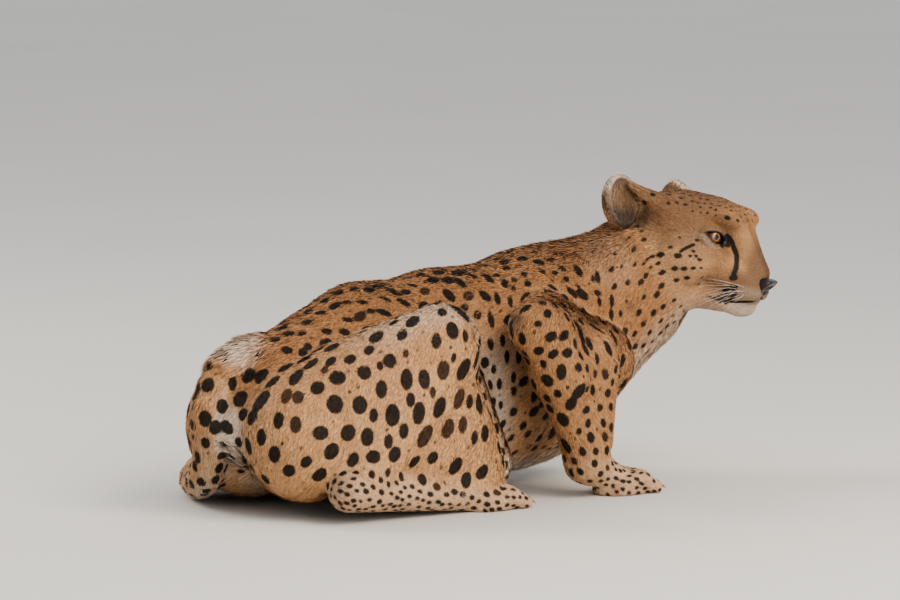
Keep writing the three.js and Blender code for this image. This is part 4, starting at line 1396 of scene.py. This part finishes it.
def growTufts(name, index):
    f, m = chosen[index], mix[index]
    count = len(f)
    root = at(skinPoints, f, m)
    normal = unit(at(skinNormals, f, m))
    run = at(flow, f, m)
    run = unit(run - dot(run, normal)[:, None] * normal)
    across = np.cross(normal, run)
    wander = np.radians(rng.normal(0, tuft["wander"], count))[:, None]
    c, s = np.cos(wander), np.sin(wander)
    run, across = run * c + across * s, across * c - run * s
    roll = np.radians(rng.normal(0, tuft["roll"], count))[:, None]
    blade = across * np.cos(roll) + normal * np.sin(roll)
    long = (at(length, f, m) * rng.uniform(*tuft["longVary"], count))[:, None]
    half = (at(width, f, m) * rng.uniform(*tuft["halfVary"], count) * thicker / 2)[:, None]
    rise = at(lift, f, m) + rng.normal(0, tuft["liftVary"], count)
    rise = np.radians(np.maximum(rise, tuft["leastLift"]))[:, None]
    droop = rise * tuft["tipDroop"]
    middle = root + (run * np.cos(rise) + normal * np.sin(rise)) * long * 0.5
    tip = middle + (run * np.cos(droop) + normal * np.sin(droop)) * long * 0.5
    root = root - normal * tuft["rootDepth"]
    foot = blade * half * tuft["rootWidth"]
    waist = blade * half
    points = np.stack([root - foot, root + foot, middle + waist, middle - waist, tip], 1)
    points[..., 2] = np.maximum(points[..., 2], tuft["floor"])
    base = np.arange(count)[:, None] * 5
    faces = np.concatenate([base + [0, 1, 2], base + [0, 2, 3], base + [3, 2, 4]], 1).reshape(-1, 3)
    piece = makeMesh(name, toMetres(points.reshape(-1, 3)), faces)
    piece.data.materials.append(coatFur)
    marks = [markings(spot, normal) for spot in (root, middle, tip)]
    edge, tone = (np.stack([marks[n][k] for n in (0, 0, 1, 1, 2)], 1).ravel() for k in (0, 1))
    none = np.zeros(count * 5)
    setPointData(piece, "marks", np.stack([edge, tone, none], 1))
    setPointData(piece, "zones", np.stack([np.repeat(at(zone, f, m), 5) for zone in (pale, ochre, dusk)], 1))
    along = np.tile(vec(0, 0, 0.5, 0.5, 1), count)
    setPointData(piece, "hairs", np.stack([along, np.repeat(rng.random(count), 5), none], 1))
    uv = np.einsum("ijk,ij->ik", skinUv[f], m)
    patch = tuft["patch"] / 2 * np.array([(-1, -1), (1, -1), (1, 0.2), (-1, 0.2), (0, 1)])
    corner = (uv[:, None] + patch[None]).reshape(-1, 2)[faces.ravel()]
    layer = piece.data.uv_layers.new(name="OFBake")
    layer.data.foreach_set("uv", np.clip(corner, 0.0005, 0.9995).astype(np.float32).ravel())
    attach(piece, "root")


regions = {
    "coatHead": shareOf("head", "ear"),
    "coatTrunk": share["trunk"],
    "coatForelegs": shareOf("fore"),
    "coatHindlegs": shareOf("hind"),
    "coatTail": share["tail"],
}
regionOf = np.argmax(np.stack([at(v, chosen, mix) for v in regions.values()], 1), 1)
for number, name in enumerate(regions):
    batches = np.flatnonzero(regionOf == number)
    batches = np.array_split(batches, max(1, math.ceil(len(batches) / tuft["perPiece"])))
    for n, batch in enumerate(batches, 1):
        growTufts(name if len(batches) == 1 else f"{name}{n}", batch)
print("coat grown,", tuftCount, "tufts")

# Eyes: a dark amber iris with fine spokes under a clear wet cornea, so it holds one small sharp highlight.
eyeColours = {
    "pupil": "#050404", "inner": "#8c5c26", "outer": "#4f2c12", "edge": "#150b06", "white": "#241510",
}
wetAmberEye, tree, shader = newMaterial("amberIrisUnderWetCornea")
spot = addNode(tree, "ShaderNodeAttribute", {"attribute_name": "eyePlace"})
times = {"operation": "MULTIPLY"}
across = addNode(tree, "ShaderNodeVectorMath", times, i0=spot.outputs["Vector"], i1=(0, 1, 1))
radius = addNode(tree, "ShaderNodeVectorMath", {"operation": "LENGTH"}, i0=across.outputs[0])
spoke = addNode(tree, "ShaderNodeVectorMath", {"operation": "NORMALIZE"}, i0=across.outputs[0])
streaks = addNode(tree, "ShaderNodeTexNoise", i0=spoke.outputs[0], Scale=9.0, Detail=4.0)
ripple = addNode(
    tree, "ShaderNodeMapRange", Value=streaks.outputs[0], From_Min=0.3, From_Max=0.7, To_Min=-0.9, To_Max=0.9
)
wavy = addNode(tree, "ShaderNodeMath", {"operation": "ADD"}, i0=radius.outputs["Value"], i1=ripple.outputs[0])
pupilRadius, irisRadius = eye["pupilRadius"], eye["irisRadius"]
made = None
for value, start, end, inside, outside in (  # from the middle outwards, None for what is made so far
    (wavy.outputs[0], pupilRadius + 0.6, irisRadius - 1.4, "inner", "outer"),
    (radius.outputs["Value"], pupilRadius - 0.2, pupilRadius + 0.3, "pupil", None),
    (radius.outputs["Value"], irisRadius - 1.3, irisRadius, None, "edge"),
    (radius.outputs["Value"], irisRadius, irisRadius + 1.5, None, "white"),
):
    part = addNode(tree, "ShaderNodeMapRange", smoothStep, Value=value, From_Min=start, From_Max=end)
    within, beyond = (linear(eyeColours[name]) if name else made for name in (inside, outside))
    made = addNode(tree, "ShaderNodeMix", colourMix, i0=part.outputs[0], i6=within, i7=beyond).outputs[2]
tree.links.new(made, shader.inputs["Base Color"])
shader.inputs["Roughness"].default_value = 0.08
shader.inputs["IOR"].default_value = 1.376
shader.inputs["Coat Weight"].default_value = 1.0
shader.inputs["Coat Roughness"].default_value = 0.02

eyeball = {"around": 64, "capRings": 22, "backRings": 18, "capEnd": 0.9, "corneaRise": 0.8}


def ringFaces(rings, around):
    i, j = np.meshgrid(np.arange(rings - 1), np.arange(around), indexing="ij")
    k = (j + 1) % around
    here, ahead = i * around, (i + 1) * around
    return np.stack([here + j, ahead + j, ahead + k, here + k], -1).reshape(-1, 4)


for s, name in ((-1, "right"), (1, "left")):
    centre, axes = eyeFrame(s)
    cap = np.linspace(0, eyeball["capEnd"], eyeball["capRings"])
    polar = np.concatenate([cap, np.linspace(0.98, math.pi, eyeball["backRings"])])[:, None]
    turn = np.linspace(0, 2 * math.pi, eyeball["around"], endpoint=False)
    bulge = eye["radius"] + eyeball["corneaRise"] * smooth01(0.75 - polar, 0, 0.5)  # the cornea stands proud
    ring = np.stack([
        np.cos(polar) + 0 * turn, np.sin(polar) * np.cos(turn), np.sin(polar) * np.sin(turn)
    ], -1) * bulge[..., None]
    local = ring.reshape(-1, 3)
    points = toMetres(fromHead(local @ axes.T + centre))
    piece = makeMesh(f"eyeball_{name}", points, ringFaces(len(polar), eyeball["around"]))
    setPointData(piece, "eyePlace", local)
    piece.data.materials.append(wetAmberEye)
    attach(piece, "root")
    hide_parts(f"eye_{name}")
print("eyes set")

# Nose pad: a dark wedge with comma-shaped nostrils.
nose = {
    "top": (-15, 6, -5.5, 11),  # X, half width, Z and radius of the upper edge
    "bottom": (-28, 3.5, -15, 8.5),
    "wings": (-27, 10.5, -9),
    "nostril": (-13.5, 6.5, -10.5),
    "tip": (-4.6, -0.6),  # X and Z of the foremost edge, where top and front meet
    "frontSlope": (0.77, -0.64),  # outward direction of the flat front, X and Z
    "topSlope": (0.10, 0.995),
    "grain": 0.8,
    "quickGrain": 1.28,
    "box": ((-44, -4), (-20, 20), (-28, 10)),
}


def noseField(h):
    topX, topY, topZ, topR = nose["top"]
    lowX, lowY, lowZ, lowR = nose["bottom"]
    wingX, wingY, wingZ = nose["wings"]
    x, y, z = nose["nostril"]
    d = melt(h, 7, [
        bar((topX, -topY, topZ), (topX, topY, topZ), topR, topR),
        bar((lowX, -lowY, lowZ), (lowX, lowY, lowZ), lowR, lowR),
        *both(lambda s: lobe((wingX, s * wingY, wingZ), (10, 5.5, 8))),
    ])
    tipX, tipZ = nose["tip"]
    for outX, outZ in (nose["frontSlope"], nose["topSlope"]):
        d = softMax(d, (h[:, 0] - tipX) * outX + (h[:, 2] - tipZ) * outZ, 3)
    for s in (-1, 1):
        slit = bar((x - 3, s * (y + 2.5), z - 0.5), (x - 12, s * (y + 9.5), z + 1), 1.7, 1.1)
        d = softMax(d, -melt(h, 2, [lobe((x, s * y, z), (6, 3.3, 3.0)), slit]), 1.2)
    groove = np.maximum(np.abs(h[:, 1]) - 0.5, -(d + 1.6))
    return softMax(d, -np.where(h[:, 2] < -6, groove, 20), 0.8)


noseStep = nose["grain"]
noseAxes = [np.arange(start, end, noseStep, dtype=np.float32) for start, end in nose["box"]]
nosePoints, noseFaces = largestPart(*surfaceOf(noseField, noseAxes, 0.01))
nosePad = makeMesh("nosePad", toMetres(fromHead(nosePoints)), noseFaces)

# Nose leather, moist and pebbled: small raised cells about 1 mm across that break up a soft highlight.
pebbledNoseLeather, tree, shader = newMaterial("pebbledNoseLeatherMoist")
place = addNode(tree, "ShaderNodeTexCoord").outputs["Object"]
cells = addNode(tree, "ShaderNodeTexVoronoi", i0=place, Scale=850.0)
stain = addNode(tree, "ShaderNodeTexNoise", i0=place, Scale=90.0, Detail=3.0)
shades = {"i6": linear("#0d0b0d"), "i7": linear("#2b1c1e")}
tone = addNode(tree, "ShaderNodeMix", colourMix, i0=stain.outputs[0], **shades)
tree.links.new(tone.outputs[2], shader.inputs["Base Color"])
shader.inputs["Roughness"].default_value = 0.34
bump = addNode(tree, "ShaderNodeBump", Strength=0.5, Distance=0.0003, Height=cells.outputs[0])
tree.links.new(bump.outputs[0], shader.inputs["Normal"])
nosePad.data.materials.append(pebbledNoseLeather)
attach(nosePad, "root")
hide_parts("nose")
print("nose set,", len(noseFaces), "triangles")

# Claw horn, worn: dark at the base, paler and scratched lengthwise towards the blunt tip.
wornClawHorn, tree, shader = newMaterial("clawHornWorn")
spot = addNode(tree, "ShaderNodeAttribute", {"attribute_name": "clawPlace"})
part = addNode(tree, "ShaderNodeSeparateXYZ", i0=spot.outputs["Vector"])
grow = addNode(tree, "ShaderNodeTexNoise", i0=spot.outputs["Vector"], Scale=3.0, Detail=3.0)
shades = {"i6": linear("#2a201a"), "i7": linear("#8a7460")}
tone = addNode(tree, "ShaderNodeMix", colourMix, i0=part.outputs[0], **shades)
tree.links.new(tone.outputs[2], shader.inputs["Base Color"])
shader.inputs["Roughness"].default_value = 0.38
bump = addNode(tree, "ShaderNodeBump", Strength=0.3, Distance=0.0003, Height=grow.outputs[0])
tree.links.new(bump.outputs[0], shader.inputs["Normal"])

claw = {"length": 19, "radius": 3.4, "lift": 2.5, "arch": 1.5, "drop": 7.5, "rings": 14, "around": 14}


def tube(path, radii, around):
    ahead = unit(np.gradient(path, axis=0))
    sideways = unit(np.cross(ahead, vec(0, 0, 1)))
    over = np.cross(sideways, ahead)
    turn = np.linspace(0, 2 * math.pi, around, endpoint=False)[None, :, None]
    out = sideways[:, None] * np.cos(turn) + over[:, None] * np.sin(turn)
    ring = path[:, None] + out * radii[:, None, None]
    return ring.reshape(-1, 3), ringFaces(len(path), around)[:, [0, 3, 2, 1]]


for end, side in itertools.product(("fore", "hind"), ("right", "left")):
    t = np.linspace(0, 1, claw["rings"])
    radii = claw["radius"] * (1 - 0.93 * t**1.3)
    for number, toe in enumerate(toeEnds(legs[end + side.capitalize()]["pad"], toes[end]), 1):
        fall = claw["lift"] + claw["arch"] * t - claw["drop"] * t**2
        path = np.stack([toe[0] + claw["length"] * t, toe[1] + 0 * t, toe[2] + fall], 1)
        points, faces = tube(path.astype(np.float32), radii, claw["around"])
        points[:, 2] = np.maximum(points[:, 2], tuft["floor"])
        piece = makeMesh(f"claw_{end}_{side}_{number}_horn", toMetres(points), faces)
        along = np.repeat(t, claw["around"])
        setPointData(piece, "clawPlace", np.stack([along, points[:, 1], points[:, 2]], 1))
        piece.data.materials.append(wornClawHorn)
        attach(piece, "root")
        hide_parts(f"claw_{end}_{side}_{number}")
print("claws set")

# Whiskers: stiff pale bristles from rows on each lip, thinning to a point.
whisker = {"rows": 4, "perRow": 4, "length": 58, "radius": 0.16, "joints": 8, "around": 5, "sag": (-6, 0, -7)}
whiskerBristle, tree, shader = newMaterial("whiskerBristleStiff")
place = addNode(tree, "ShaderNodeTexCoord").outputs["Object"]
fade = addNode(tree, "ShaderNodeTexNoise", i0=place, Scale=60.0, Detail=1.0)
shades = {"i6": linear("#d8cdbd"), "i7": linear("#f2ede3")}
tone = addNode(tree, "ShaderNodeMix", colourMix, i0=fade.outputs[0], **shades)
tree.links.new(tone.outputs[2], shader.inputs["Base Color"])
shader.inputs["Roughness"].default_value = 0.4
allPoints, allFaces = [], []
lipSkin = np.flatnonzero(share["head"] > 0.5)
for s, row, n in itertools.product((-1, 1), range(whisker["rows"]), range(whisker["perRow"])):
    aimAt = vec(-36 - 6.2 * n, s * 30, -14 - 4.2 * row)
    root = headSkin[lipSkin[np.linalg.norm(headSkin[lipSkin] - aimAt, axis=1).argmin()]]
    out = unit(vec(-0.5 - 0.1 * n, s * 0.85, 0.12 - 0.2 * row) + 0.14 * rng.normal(size=3).astype(np.float32))
    t = np.linspace(0, 1, whisker["joints"])[:, None]
    reach = whisker["length"] * rng.uniform(0.7, 1.05)
    path = root + out * reach * t + vec(*whisker["sag"]) * t**2
    radii = whisker["radius"] * (1 - 0.85 * t[:, 0])
    points, faces = tube(path.astype(np.float32), radii, whisker["around"])
    allFaces.append(faces + sum(len(p) for p in allPoints))
    allPoints.append(points)
whiskers = makeMesh("whiskers", toMetres(fromHead(np.concatenate(allPoints))), np.concatenate(allFaces))
whiskers.data.materials.append(whiskerBristle)
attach(whiskers, "root")
print("whiskers set")

floorMesh = bpy.data.meshes.new("floor")
floorMesh.from_pydata([(-8, -8, 0), (8, -8, 0), (8, 8, 0), (-8, 8, 0)], [], [(0, 1, 2, 3)])
floor = bpy.data.objects.new("floor", floorMesh)
bpy.context.scene.collection.objects.link(floor)
# Matt painted board, rolled on: barely mottled, with a soft eggshell grain that keeps shadows clean.
floorFinish, tree, shader = newMaterial("mattPaintRolledOnBoard")
place = addNode(tree, "ShaderNodeTexCoord").outputs["Object"]
mottle = addNode(tree, "ShaderNodeTexNoise", i0=place, Scale=2.2, Detail=3.0)
shades = {"i6": linear("#d4d1cb"), "i7": linear("#dcd9d4")}
tone = addNode(tree, "ShaderNodeMix", colourMix, i0=mottle.outputs[0], **shades)
tree.links.new(tone.outputs[2], shader.inputs["Base Color"])
shader.inputs["Roughness"].default_value = 0.88
stipple = addNode(tree, "ShaderNodeTexNoise", i0=place, Scale=260.0, Detail=2.0)  # marks about 4 mm across
bump = addNode(tree, "ShaderNodeBump", Strength=0.12, Distance=0.0004, Height=stipple.outputs[0])
tree.links.new(bump.outputs[0], shader.inputs["Normal"])
floorMesh.materials.append(floorFinish)

world = bpy.data.worlds.new("studio")
bpy.context.scene.world = world
world.use_nodes = True
background = world.node_tree.nodes["Background"]
background.inputs[0].default_value = linear("#e3e6ea")
background.inputs[1].default_value = 0.85


def softbox(name, place, size, power, colour="#ffffff"):
    data = bpy.data.lights.new(name, "AREA")
    data.shape = "DISK"
    data.size = size
    data.energy = power
    data.color = linear(colour)[:3]
    made = bpy.data.objects.new(name, data)
    made.location = place
    made.rotation_euler = (Vector((0, 0, 0.2)) - Vector(place)).to_track_quat("-Z", "Y").to_euler()
    bpy.context.scene.collection.objects.link(made)


softbox("keyLight", (0.5, -2.6, 2.7), 1.9, 72, "#fff0dc")
softbox("fillLight", (-0.5, -3.0, 1.0), 2.6, 56, "#fbf6f0")
softbox("rimLight", (-1.4, 2.2, 2.2), 1.4, 46, "#fff6ea")

cameraData = bpy.data.cameras.new("longLens")
cameraData.sensor_width = 36
cameraData.lens = 36 * lens["distance"] / lens["frameWidth"]
cameraData.clip_end = 100
camera = bpy.data.objects.new("longLens", cameraData)
bpy.context.scene.collection.objects.link(camera)
camera.location = Vector(toMetres(cameraPlace).tolist())
camera.rotation_euler = Vector((-towardsCamera).tolist()).to_track_quat("-Z", "Y").to_euler()
bpy.context.scene.camera = camera
bpy.context.scene.view_settings.view_transform = "AgX"
bpy.context.scene.view_settings.look = "AgX - Medium High Contrast"

bpy.context.view_layer.update()
